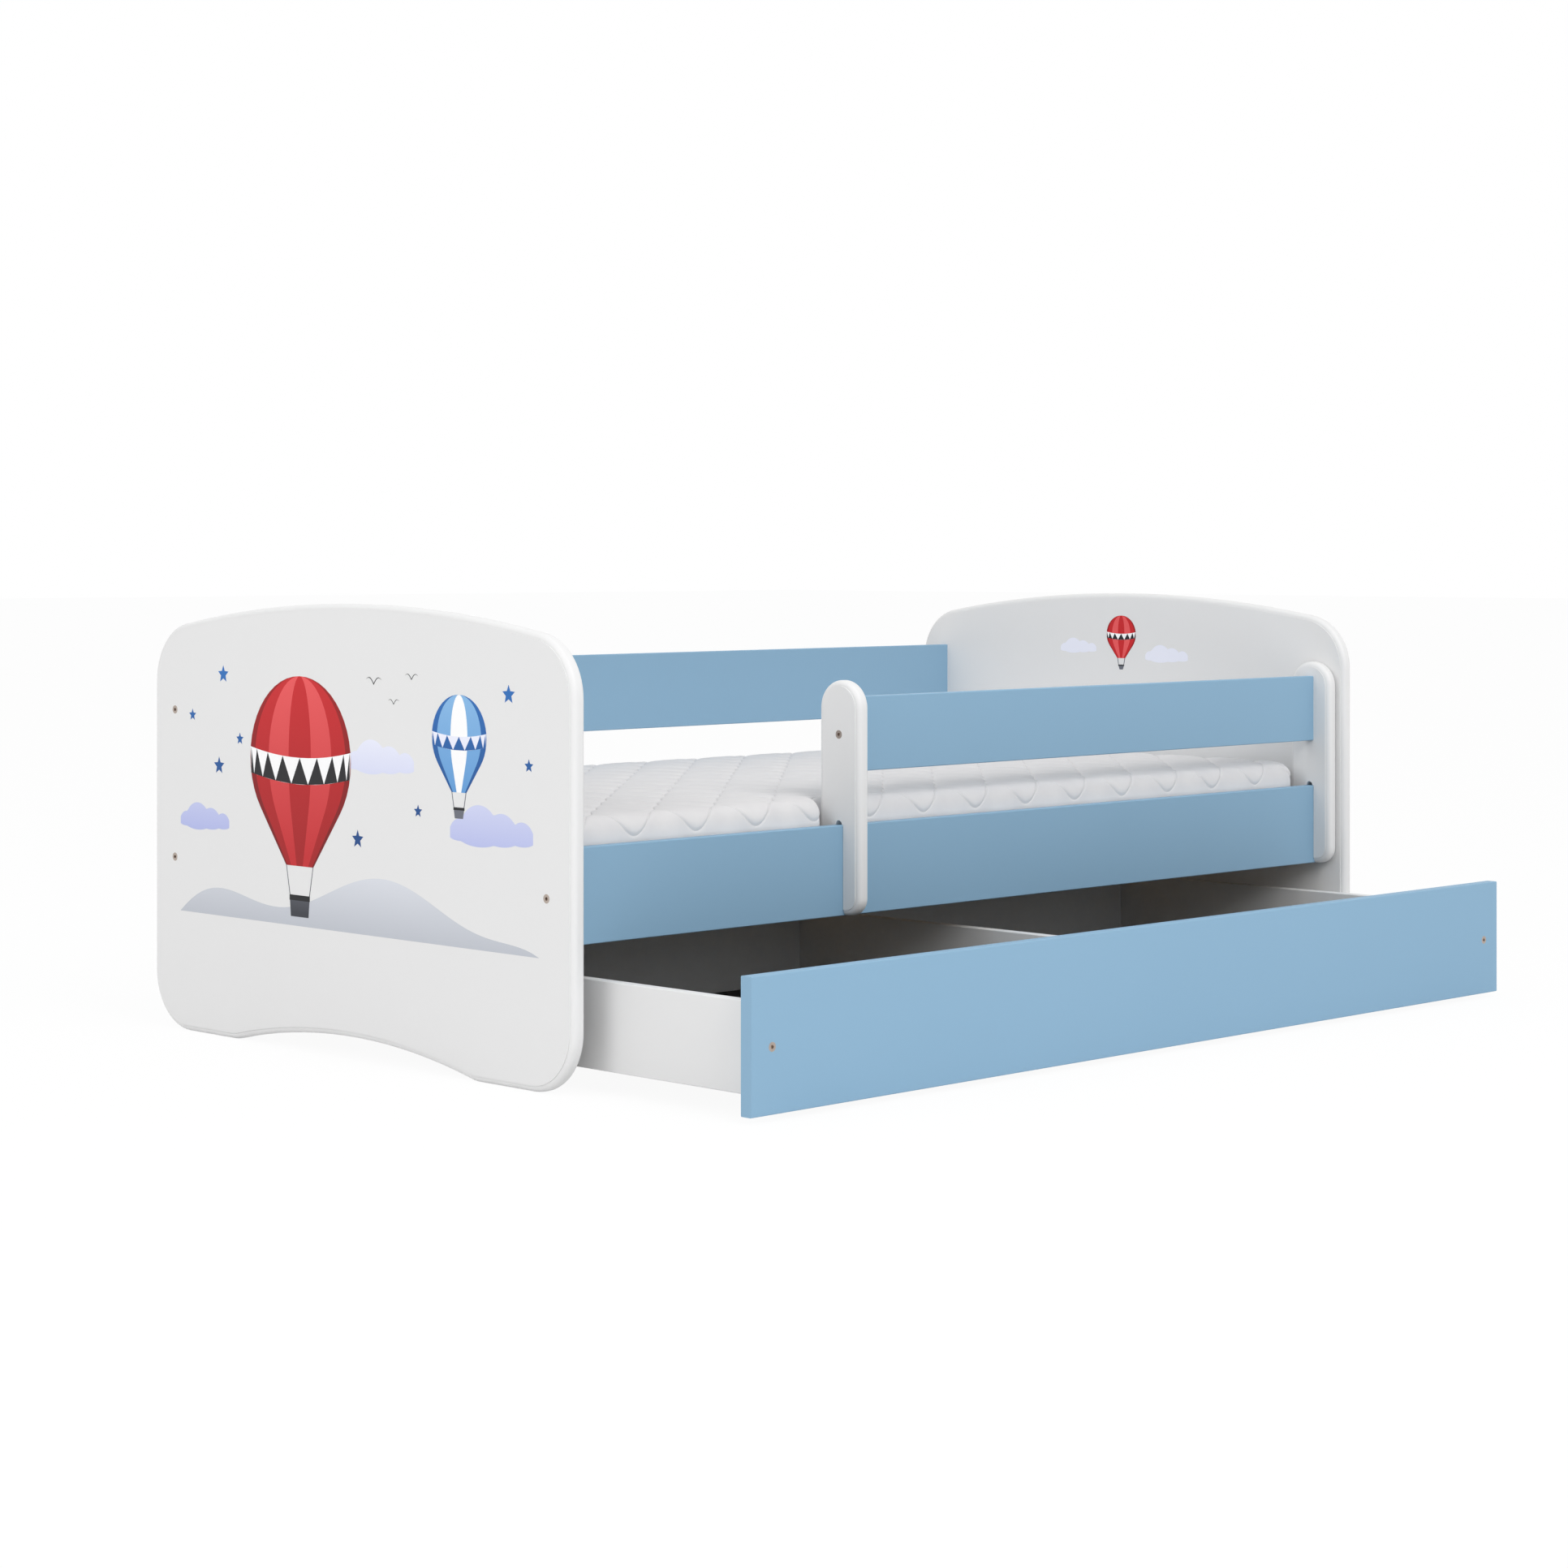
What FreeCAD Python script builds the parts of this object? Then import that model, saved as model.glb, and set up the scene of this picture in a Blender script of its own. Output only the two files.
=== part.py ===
import FreeCAD, Part
import math
import os

V = FreeCAD.Vector
ALONG = V(1, 0, 0)
ACROSS = V(0, 1, 0)
UP = V(0, 0, 1)
QUARTER_TURN = math.pi / 2
FULL_TURN_DEG = 360

# Sleeping space between the end boards and between the side rails, for a mattress of 1600 by 800
inner_length = 1630.0
inner_width = 802.0

# End boards: crowned top, round shoulders, two feet with an arch between them
board_thickness = 22.0
board_side_overhang = 44.0
board_height = 618.0
crown_radius = 2350.0
shoulder_radius = 85.0
foot_corner_radius = 82.0
arch_half_chord = 263.0
arch_rise = 30.0
arch_blend_radius = 60.0

# Rounded edge of the MDF pieces, with a fine step down from each flat face
edge_round = 7.0
edge_step = 1.2
edge_ledge = 1.0

# Side rails of laminated board
rail_thickness = 16.0
rail_height = 125.0
rail_bottom = 186.0
upper_rail_height = 123.0
upper_rail_bottom = 399.5
panel_edge_round = 1.5

# Guard that straddles the front rail
guard_rail_height = 104.0
guard_rail_bottom = 384.0
post_thickness = 22.0
post_width = 78.0
post_height = 325.0
post_foot_radius = 25.0
first_post_distance = 511.0
post_board_gap = 0.5
slot_clearance = 0.3
slot_relief_radius = 6.0
rear_leg_length = 58.0

# Slatted base on battens
batten_width = 25.0
batten_height = 40.0
batten_end_gap = 15.0
slat_count = 13
slat_width = 70.0
slat_thickness = 18.0
slat_end_gap = 3.0
slat_top = 250.0
tape_width = 25.0
tape_thickness = 1.0
tape_inset = 148.0

# Mattress: foam core in a quilted cover with wavy seams
mattress_end_gap = 15.0
mattress_side_gap = 3.0
mattress_height = 101.0
mattress_crown = 3.0
mattress_bottom_radius = 12.0
mattress_top_radius = 24.0
mattress_side_bulge = 3.0
mattress_end_run = 30.0
mattress_end_step = 8.0
mattress_end_draw = 6.0
mattress_end_drop = 20.0
soft_clearance = 0.3
seam_count = 12
seam_edge_gap = 26.0
seam_wave = 110.0
seam_swing = 17.0
rib_rise = 5.0
cover_thickness = 14.0
post_notch_gap = 8.0
post_notch_radius = 10.0

# Drawer box behind a full-width front, drawn out as far as the photograph shows
drawer_pull = 334.0
drawer_front_end_gap = 6.5
drawer_front_thickness = 18.0
drawer_front_height = 170.0
drawer_front_bottom = 8.2
drawer_side_inset = 34.0
drawer_side_height = 114.5
drawer_side_bottom = 29.0
drawer_wall = 16.0
drawer_depth = 693.0
bottom_thickness = 3.0
bottom_lap = 10.0
bottom_joint_gap = 1.0
drawer_batten_depth = 40.0
drawer_batten_height = 16.0

# Casters under the drawer
caster_inset = 205.0
wheel_radius = 12.0
wheel_width = 10.0
wheel_edge_round = 1.5
wheel_recess_depth = 1.5
wheel_recess_outer_radius = 9.0
wheel_recess_inner_radius = 4.5
axle_radius = 2.0
axle_clearance = 0.05
cheek_gap = 0.5
cheek_thickness = 2.5
cheek_radius = 6.5
plate_length = 50.0
plate_width = 16.0
plate_thickness = 3.0
caster_screw_spread = 18.0
caster_screw_head_radius = 3.2
caster_screw_head_height = 2.2
caster_screw_radius = 1.6
caster_screw_grip = 10.0

# Joint screws with a countersunk head and a hexagon socket
joint_screw_head_radius = 6.0
joint_screw_cone = 2.5
joint_screw_radius = 3.5
joint_screw_length = 50.0
joint_screw_tip = 4.0
socket_width = 4.5
socket_depth = 3.0
drawer_screw_rise = 61.5
drawer_low_fixing = 27.0
drawer_high_fixing = 92.0

# Dowels beside the joint screws
dowel_radius = 4.0
dowel_length = 32.0
dowel_depth_in_board = 14.0
rail_dowel_spread = 40.0
guard_dowel_spread = 34.0
drawer_dowel_depth = 12.0

# Countersunk wood screws that hold the battens to the side rails
batten_screw_count = 5
batten_screw_inset = 60.0
batten_screw_head_radius = 4.0
batten_screw_cone = 2.0
batten_screw_radius = 2.0
batten_screw_length = 36.0
batten_screw_tip = 4.0

# Overrun of every cutting shape past the faces it cuts
overrun = 5.0

# Places worked out from the sizes above, with the bed's centre on the floor as zero
half_length = inner_length / 2
half_width = inner_width / 2
rail_centre = half_width + rail_thickness / 2
rail_face = half_width + rail_thickness
rail_top = rail_bottom + rail_height
board_width = 2 * (rail_face + board_side_overhang)
first_post_face = first_post_distance - half_length
last_post_face = half_length - post_board_gap - post_thickness
post_rear = rail_centre - post_width / 2
slat_bottom = slat_top - slat_thickness
slat_reach = half_width - slat_end_gap
mattress_bottom = slat_top + soft_clearance
mattress_length = inner_length - 2 * mattress_end_gap
mattress_half_width = half_width - mattress_side_gap
quilt_half_width = mattress_half_width - mattress_side_bulge - mattress_top_radius
seam_pitch = 2 * (quilt_half_width - seam_swing - seam_edge_gap) / (seam_count - 1)
drawer_face = -rail_face - drawer_pull
drawer_front_length = inner_length - 2 * drawer_front_end_gap
drawer_inside = drawer_face + drawer_front_thickness
drawer_back_face = drawer_inside + drawer_depth
drawer_rear = drawer_back_face + drawer_wall
drawer_side_outer = half_length - drawer_side_inset
drawer_side_inner = drawer_side_outer - drawer_wall
caster_distance = drawer_side_inner - caster_inset
drawer_top = drawer_side_bottom + drawer_side_height
bottom_top = drawer_side_bottom + bottom_thickness
plate_underside = drawer_side_bottom - plate_thickness
drawer_fixing_heights = (drawer_side_bottom + drawer_low_fixing, drawer_side_bottom + drawer_high_fixing)

# The side rails: name, centre across the bed, underside and height
rails = (
    ("front_rail", -rail_centre, rail_bottom, rail_height),
    ("back_rail_lower", rail_centre, rail_bottom, rail_height),
    ("back_rail_upper", rail_centre, upper_rail_bottom, upper_rail_height),
)


def block(low, high):
    """A box between two opposite corners."""
    size = high - low
    return Part.makeBox(size.x, size.y, size.z, low)


def rod(radius, start, direction, length):
    """A plain cylinder from a point along a direction."""
    return Part.makeCylinder(radius, length, start, direction)


def panel(low, high):
    """A laminated board with its long edges eased."""
    board = block(low, high)
    spans = [high.x - low.x, high.y - low.y, high.z - low.z]
    longest = spans.index(max(spans))
    axis = (ALONG, ACROSS, UP)[longest]
    long_edges = [edge for edge in board.Edges if abs(edge.tangentAt(edge.FirstParameter).dot(axis)) > 0.5]
    return board.makeFillet(panel_edge_round, long_edges)


def arc_edge(centre, radius, start, end):
    """An arc in the plane across the bed, between two angles measured from the Y axis."""
    angles = (start, (start + end) / 2, end)
    points = [centre + V(0, radius * math.cos(angle), radius * math.sin(angle)) for angle in angles]
    return Part.Arc(*points).toShape()


def outline_face(arcs):
    """A face whose outline is a chain of arcs, joined by straight runs where they don't meet."""
    edges = []
    for arc in arcs:
        edge = arc_edge(*arc)
        if edges:
            edges += straight_run(edges[-1], edge)
        edges.append(edge)
    edges += straight_run(edges[-1], edges[0])
    return Part.Face(Part.Wire(edges))


def straight_run(before, after):
    """The line from the end of one arc to the start of the next, if they are apart."""
    start = before.valueAt(before.LastParameter)
    end = after.valueAt(after.FirstParameter)
    if start.isEqual(end, 1e-6):
        return []
    return [Part.LineSegment(start, end).toShape()]


def rounded_board(outline, thickness):
    """A board with rounded edges, whose flat faces stand a fine step proud of the rounding."""
    rim = outline_face(outline(0)).extrude(V(thickness - 2 * edge_step, 0, 0))
    rim.translate(V(edge_step, 0, 0))
    face_edges = [edge for edge in rim.Edges if edge.BoundBox.XLength < edge_step]
    rim = rim.makeFillet(edge_round, face_edges)
    core = outline_face(outline(edge_round + edge_ledge)).extrude(V(thickness, 0, 0))
    return rim.fuse(core).removeSplitter()


def board_outline(inset):
    """Arcs of the end board's outline, drawn in by an inset, from one foot round to the other."""
    half = board_width / 2
    crown = V(0, 0, board_height - crown_radius)
    shoulder_y = half - shoulder_radius
    shoulder_rise = math.sqrt((crown_radius - shoulder_radius) ** 2 - shoulder_y ** 2)
    shoulder_z = crown.z + shoulder_rise
    lean = math.atan2(shoulder_rise, shoulder_y)
    foot_y = half - foot_corner_radius
    arch_radius = (arch_half_chord ** 2 + arch_rise ** 2) / (2 * arch_rise)
    arch = V(0, 0, arch_rise - arch_radius)
    reach = arch_radius + arch_blend_radius
    blend_y = math.sqrt(reach ** 2 - (reach - arch_rise) ** 2)
    tilt = math.acos((reach - arch_rise) / reach)
    turn = 2 * QUARTER_TURN
    return (
        (V(0, foot_y, foot_corner_radius), foot_corner_radius - inset, -QUARTER_TURN, 0),
        (V(0, shoulder_y, shoulder_z), shoulder_radius - inset, 0, lean),
        (crown, crown_radius - inset, lean, turn - lean),
        (V(0, -shoulder_y, shoulder_z), shoulder_radius - inset, turn - lean, turn),
        (V(0, -foot_y, foot_corner_radius), foot_corner_radius - inset, turn, turn + QUARTER_TURN),
        (V(0, -blend_y, arch_blend_radius), arch_blend_radius - inset, -QUARTER_TURN, tilt - QUARTER_TURN),
        (arch, arch_radius + inset, QUARTER_TURN + tilt, QUARTER_TURN - tilt),
        (V(0, blend_y, arch_blend_radius), arch_blend_radius - inset, -tilt - QUARTER_TURN, -QUARTER_TURN),
    )


def post_outline(inset):
    """Arcs of a guard post's outline, drawn in by an inset, with the post's centre line as zero."""
    half = post_width / 2
    foot_y = half - post_foot_radius
    foot_z = rail_bottom + post_foot_radius
    top_z = rail_bottom + post_height - half
    turn = 2 * QUARTER_TURN
    return (
        (V(0, foot_y, foot_z), post_foot_radius - inset, -QUARTER_TURN, 0),
        (V(0, 0, top_z), half - inset, 0, QUARTER_TURN),
        (V(0, 0, top_z), half - inset, QUARTER_TURN, turn),
        (V(0, -foot_y, foot_z), post_foot_radius - inset, turn, turn + QUARTER_TURN),
    )


def guard_post(face):
    """A post with a slot over the front rail, a round relief at its end and a short rear leg."""
    post = rounded_board(post_outline, post_thickness)
    slot_half = rail_thickness / 2 + slot_clearance
    slot_end = rail_top + slot_clearance
    slot_low = V(-overrun, -slot_half, rail_bottom - overrun)
    slot = block(slot_low, V(post_thickness + overrun, slot_half, slot_end))
    relief = rod(slot_relief_radius, V(-overrun, 0, slot_end), ALONG, post_thickness + 2 * overrun)
    leg_low = V(-overrun, 0, rail_bottom - overrun)
    leg_end = block(leg_low, V(post_thickness + overrun, post_width, rail_top - rear_leg_length))
    post = post.cut(slot).cut(relief).cut(leg_end)
    post.translate(V(face, -rail_centre, 0))
    return post


def oriented(shape, start, direction):
    """A shape drawn along X, turned to a direction and moved to its start."""
    shape.Placement = FreeCAD.Placement(start, FreeCAD.Rotation(ALONG, direction))
    return shape


def countersunk_blank(start, direction, head_radius, cone, radius, length, tip):
    """A countersunk screw without its socket, head flush at the start."""
    points = [
        V(0, 0, 0),
        V(0, 0, head_radius),
        V(cone, 0, radius),
        V(length - tip, 0, radius),
        V(length, 0, 0),
        V(0, 0, 0),
    ]
    profile = Part.Face(Part.makePolygon(points))
    return oriented(profile.revolve(V(0, 0, 0), ALONG, FULL_TURN_DEG), start, direction)


def joint_blank(start, direction):
    """A joint screw without its socket."""
    return countersunk_blank(start, direction, joint_screw_head_radius, joint_screw_cone,
                             joint_screw_radius, joint_screw_length, joint_screw_tip)


def hex_socket(start, direction):
    """The hexagon hole in a joint screw's head."""
    corner = socket_width / math.sqrt(3)
    points = []
    for side in range(7):
        angle = side * QUARTER_TURN * 2 / 3
        points.append(V(-overrun, corner * math.cos(angle), corner * math.sin(angle)))
    hexagon = Part.Face(Part.makePolygon(points)).extrude(V(overrun + socket_depth, 0, 0))
    return oriented(hexagon, start, direction)


def batten_blank(start, direction):
    """A wood screw of the battens."""
    return countersunk_blank(start, direction, batten_screw_head_radius, batten_screw_cone,
                             batten_screw_radius, batten_screw_length, batten_screw_tip)


def caster_screw(start, direction):
    """A pan-head screw that runs up through a caster plate and the drawer bottom."""
    head_start = start - direction * caster_screw_head_height
    head = rod(caster_screw_head_radius, head_start, direction, caster_screw_head_height)
    length = plate_thickness + bottom_thickness + caster_screw_grip
    return head.fuse(rod(caster_screw_radius, start, direction, length)).removeSplitter()


def dowel(start, direction):
    """A plain dowel."""
    return rod(dowel_radius, start, direction, dowel_length)


def frame_boards():
    """The two end boards and the three side rails."""
    pieces = {}
    for name, face in (("footboard", -half_length - board_thickness), ("headboard", half_length)):
        board = rounded_board(board_outline, board_thickness)
        board.translate(V(face, 0, 0))
        pieces[name] = board
    for name, centre, bottom, height in rails:
        low = V(-half_length, centre - rail_thickness / 2, bottom)
        pieces[name] = panel(low, low + V(inner_length, rail_thickness, height))
    return pieces


def slatted_base():
    """Battens on the side rails, the slats that lie on them and the tapes that space the slats."""
    pieces = {}
    reach = half_length - batten_end_gap
    for name, side in (("front_batten", -1), ("back_batten", 1)):
        faces = sorted((side * half_width, side * (half_width - batten_width)))
        low = V(-reach, faces[0], slat_bottom - batten_height)
        pieces[name] = panel(low, V(reach, faces[1], slat_bottom))
    pitch = (mattress_length - slat_width) / (slat_count - 1)
    for number in range(slat_count):
        left = number * pitch - mattress_length / 2
        low = V(left, -slat_reach, slat_bottom)
        pieces[f"slat_{number + 1:02d}"] = panel(low, V(left + slat_width, slat_reach, slat_top))
    for name, side in (("slat_tape_front", -1), ("slat_tape_back", 1)):
        centre = side * (slat_reach - tape_inset)
        low = V(-mattress_length / 2, centre - tape_width / 2, slat_bottom - tape_thickness)
        pieces[name] = block(low, low + V(mattress_length, tape_width, tape_thickness))
    return pieces


def guard():
    """Two slotted posts and the rail between them."""
    low = V(first_post_face + post_thickness, -rail_face, guard_rail_bottom)
    high = V(last_post_face, -half_width, guard_rail_bottom + guard_rail_height)
    return {
        "guard_post_foot": guard_post(first_post_face),
        "guard_post_head": guard_post(last_post_face),
        "guard_rail": panel(low, high),
    }


def bowed_edge(start, end, push):
    """An arc between two points, pushed out at its middle."""
    return Part.Arc(start, (start + end) / 2 + push, end).toShape()


def mattress_section(station, draw, drop, swing):
    """Outline across the mattress at one station, with ribs between the seams.

    draw and drop take in the sides and the top, and swing moves the seams along their wave.
    """
    half = mattress_half_width - mattress_side_bulge - draw
    low = mattress_bottom + draw
    edge_top = mattress_bottom + mattress_height - mattress_crown - rib_rise - drop
    waist = (low + mattress_bottom_radius + edge_top - mattress_top_radius) / 2
    seams = [(number - (seam_count - 1) / 2) * seam_pitch + swing for number in range(seam_count)]
    stops = [mattress_top_radius - half] + seams + [half - mattress_top_radius]
    crowned = [V(station, y, edge_top + mattress_crown * (1 - (y / half) ** 2)) for y in stops]
    crowned[0].z = edge_top
    crowned[-1].z = edge_top
    right = [
        V(station, half - mattress_bottom_radius, low),
        V(station, half, low + mattress_bottom_radius),
        V(station, half, waist),
        V(station, half, edge_top - mattress_top_radius),
        crowned[-1],
    ]
    left = [V(station, -point.y, point.z) for point in reversed(right)]
    corner_share = 1 - math.sqrt(0.5)
    foot_push = (0.5 - corner_share) * mattress_bottom_radius
    head_push = (0.5 - corner_share) * mattress_top_radius
    out = V(0, mattress_side_bulge, 0)
    edges = [
        Part.LineSegment(left[-1], right[0]).toShape(),
        bowed_edge(right[0], right[1], V(0, foot_push, -foot_push)),
        bowed_edge(right[1], right[2], out),
        bowed_edge(right[2], right[3], out),
        bowed_edge(right[3], right[4], V(0, head_push, head_push)),
    ]
    for number in range(len(crowned) - 1, 0, -1):
        edges.append(bowed_edge(crowned[number], crowned[number - 1], V(0, 0, rib_rise)))
    edges += [
        bowed_edge(left[0], left[1], V(0, -head_push, head_push)),
        bowed_edge(left[1], left[2], -out),
        bowed_edge(left[2], left[3], -out),
        bowed_edge(left[3], left[4], V(0, -foot_push, -foot_push)),
    ]
    return Part.Wire(edges)


def post_notches(gap):
    """Upright notches that keep the mattress a gap clear of the guard posts."""
    depth = post_rear - gap
    notches = []
    for face in (first_post_face, last_post_face):
        low = V(face - gap, -half_width - overrun, mattress_bottom - overrun)
        high = V(face + post_thickness + gap, -depth, mattress_bottom + mattress_height + overrun)
        notch = block(low, high)
        upright = [edge for edge in notch.Edges if edge.BoundBox.ZLength > mattress_height]
        deep = [edge for edge in upright if abs(edge.CenterOfMass.y + depth) < overrun]
        notches.append(notch.makeFillet(post_notch_radius, deep))
    return notches


def mattress():
    """A quilted cover around a plain foam core."""
    half = mattress_length / 2
    run = mattress_length - 2 * mattress_end_run
    steps = 4 * round(run / seam_wave)
    sections = [
        mattress_section(-half, mattress_end_draw, mattress_end_drop, 0),
        mattress_section(mattress_end_step - half, mattress_end_draw / 2, mattress_end_drop / 2, 0),
    ]
    for step in range(steps + 1):
        station = mattress_end_run - half + run * step / steps
        sections.append(mattress_section(station, 0, 0, seam_swing * math.sin(step * QUARTER_TURN)))
    sections += [
        mattress_section(half - mattress_end_step, mattress_end_draw / 2, mattress_end_drop / 2, 0),
        mattress_section(half, mattress_end_draw, mattress_end_drop, 0),
    ]
    whole = Part.makeLoft(sections, True, True)
    core_x = half - mattress_end_run
    core_y = mattress_half_width - cover_thickness
    core_low = V(-core_x, -core_y, mattress_bottom + cover_thickness)
    core_top = mattress_bottom + mattress_height - mattress_crown - rib_rise - cover_thickness
    core = block(core_low, V(core_x, core_y, core_top))
    core = core.cut(Part.Compound(post_notches(post_notch_gap + cover_thickness)))
    cover = whole.cut(Part.Compound(post_notches(post_notch_gap))).cut(core)
    return {"mattress_cover": cover, "mattress_core": core}


def drawer_box():
    """Front, sides, back, divider, two thin bottoms and the battens that carry the front casters."""
    pieces = {}
    half_front = drawer_front_length / 2
    low = V(-half_front, drawer_face, drawer_front_bottom)
    pieces["drawer_front"] = panel(low, low + V(drawer_front_length, drawer_front_thickness, drawer_front_height))
    for name, side in (("left", -1), ("right", 1)):
        faces = sorted((side * drawer_side_outer, side * drawer_side_inner))
        low = V(faces[0], drawer_inside, drawer_side_bottom)
        pieces[f"drawer_side_{name}"] = panel(low, V(faces[1], drawer_rear, drawer_top))
        ends = sorted((side * bottom_joint_gap / 2, side * (drawer_side_inner + bottom_lap)))
        low = V(ends[0], drawer_inside, drawer_side_bottom)
        bottom = block(low, V(ends[1], drawer_rear, bottom_top))
        pieces[f"drawer_bottom_{name}"] = bottom
        pieces[f"drawer_side_{name}"] = pieces[f"drawer_side_{name}"].cut(bottom)
        ends = sorted((side * drawer_wall / 2, side * drawer_side_inner))
        low = V(ends[0], drawer_inside, bottom_top)
        high = V(ends[1], drawer_inside + drawer_batten_depth, bottom_top + drawer_batten_height)
        pieces[f"drawer_batten_{name}"] = panel(low, high)
    low = V(-drawer_side_inner, drawer_back_face, bottom_top)
    pieces["drawer_back"] = panel(low, V(drawer_side_inner, drawer_rear, drawer_top))
    low = V(-drawer_wall / 2, drawer_inside, bottom_top)
    pieces["drawer_divider"] = panel(low, V(drawer_wall / 2, drawer_back_face, drawer_top))
    return pieces


def caster_places():
    """Where the four wheels' centres are: name and point."""
    front = drawer_inside + drawer_batten_depth / 2
    rear = drawer_back_face + drawer_wall / 2
    places = []
    for end, y in (("front", front), ("rear", rear)):
        for side, x in (("left", -caster_distance), ("right", caster_distance)):
            places.append((f"{end}_{side}", V(x, y, wheel_radius)))
    return places


def caster_housing(centre):
    """A screw-on plate with two cheeks that hold the axle."""
    low = V(centre.x - plate_length / 2, centre.y - plate_width / 2, plate_underside)
    housing = block(low, low + V(plate_length, plate_width, plate_thickness))
    inner = wheel_width / 2 + cheek_gap
    for start in (centre.x - inner - cheek_thickness, centre.x + inner):
        low = V(start, centre.y - cheek_radius, centre.z)
        cheek = block(low, V(start + cheek_thickness, centre.y + cheek_radius, plate_underside))
        tip = rod(cheek_radius, V(start, centre.y, centre.z), ALONG, cheek_thickness)
        housing = housing.fuse(cheek).fuse(tip)
    return housing.removeSplitter().cut(caster_axle(centre))


def caster_axle(centre):
    """The pin through both cheeks."""
    reach = wheel_width / 2 + cheek_gap + cheek_thickness
    return rod(axle_radius, centre - ALONG * reach, ALONG, 2 * reach)


def caster_wheel(centre):
    """A wheel with eased tread edges and a recess round its hub on each side."""
    start = centre - ALONG * (wheel_width / 2)
    wheel = rod(wheel_radius, start, ALONG, wheel_width)
    wheel = wheel.makeFillet(wheel_edge_round, wheel.Edges)
    for offset in (-overrun, wheel_width - wheel_recess_depth):
        face = start + ALONG * offset
        depth = overrun + wheel_recess_depth
        ring = rod(wheel_recess_outer_radius, face, ALONG, depth)
        wheel = wheel.cut(ring.cut(rod(wheel_recess_inner_radius, face, ALONG, depth)))
    bore_start = start - ALONG * overrun
    bore = rod(axle_radius + axle_clearance, bore_start, ALONG, wheel_width + 2 * overrun)
    return wheel.cut(bore)


def casters():
    """Housing, axle and wheel of each caster."""
    pieces = {}
    for name, centre in caster_places():
        pieces[f"caster_housing_{name}"] = caster_housing(centre)
        pieces[f"caster_axle_{name}"] = caster_axle(centre)
        pieces[f"caster_wheel_{name}"] = caster_wheel(centre)
    return pieces


def frame_seats(side):
    """Starts and directions of the joint screws in one end board."""
    face = side * (half_length + board_thickness)
    return [(V(face, centre, bottom + height / 2), ALONG * -side) for _, centre, bottom, height in rails]


def rail_dowel_seats():
    """Two dowels at each end of each side rail."""
    seats = []
    for _, centre, bottom, height in rails:
        for side in (-1, 1):
            for step in (-rail_dowel_spread, rail_dowel_spread):
                start = V(side * (half_length + dowel_depth_in_board), centre, bottom + height / 2 + step)
                seats.append((start, ALONG * -side))
    return seats


def batten_seats():
    """Screws spaced along both battens."""
    reach = half_length - batten_end_gap - batten_screw_inset
    height = slat_bottom - batten_height / 2
    seats = []
    for side in (-1, 1):
        for number in range(batten_screw_count):
            x = reach * (2 * number / (batten_screw_count - 1) - 1)
            seats.append((V(x, side * (half_width - batten_width), height), ACROSS * side))
    return seats


def guard_seats(depth, steps):
    """Fixings through both posts into the ends of the guard rail, at a depth from each outer face."""
    middle = guard_rail_bottom + guard_rail_height / 2
    seats = []
    for step in steps:
        seats.append((V(first_post_face + depth, -rail_centre, middle + step), ALONG))
        seats.append((V(last_post_face + post_thickness - depth, -rail_centre, middle + step), -ALONG))
    return seats


def drawer_front_seats():
    """The two screws that show on the drawer front."""
    x = drawer_side_outer - drawer_wall / 2
    height = drawer_side_bottom + drawer_screw_rise
    return [(V(side * x, drawer_face, height), ACROSS) for side in (-1, 1)]


def drawer_box_seats():
    """Screws through the sides into the back, and through the back into the divider."""
    seats = []
    for height in drawer_fixing_heights:
        for side in (-1, 1):
            seats.append((V(side * drawer_side_outer, drawer_back_face + drawer_wall / 2, height), ALONG * -side))
        seats.append((V(0, drawer_rear, height), -ACROSS))
    return seats


def drawer_dowel_seats():
    """Dowels from the front into both sides and the divider."""
    x = drawer_side_outer - drawer_wall / 2
    start = drawer_inside - drawer_dowel_depth
    return [(V(place, start, height), ACROSS) for place in (-x, 0, x) for height in drawer_fixing_heights]


def caster_screw_seats():
    """Two screws in each caster plate."""
    seats = []
    for _, centre in caster_places():
        for step in (-caster_screw_spread, caster_screw_spread):
            seats.append((V(centre.x + step, centre.y, plate_underside), UP))
    return seats


def fasten(pieces, name, make, seats, through, socketed=False):
    """Add a group of fasteners and cut their seats in the pieces that they pass through."""
    blanks = Part.Compound([make(*seat) for seat in seats])
    for holder in through:
        pieces[holder] = pieces[holder].cut(blanks)
    if socketed:
        pieces[name] = blanks.cut(Part.Compound([hex_socket(*seat) for seat in seats]))
    else:
        pieces[name] = blanks


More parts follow.
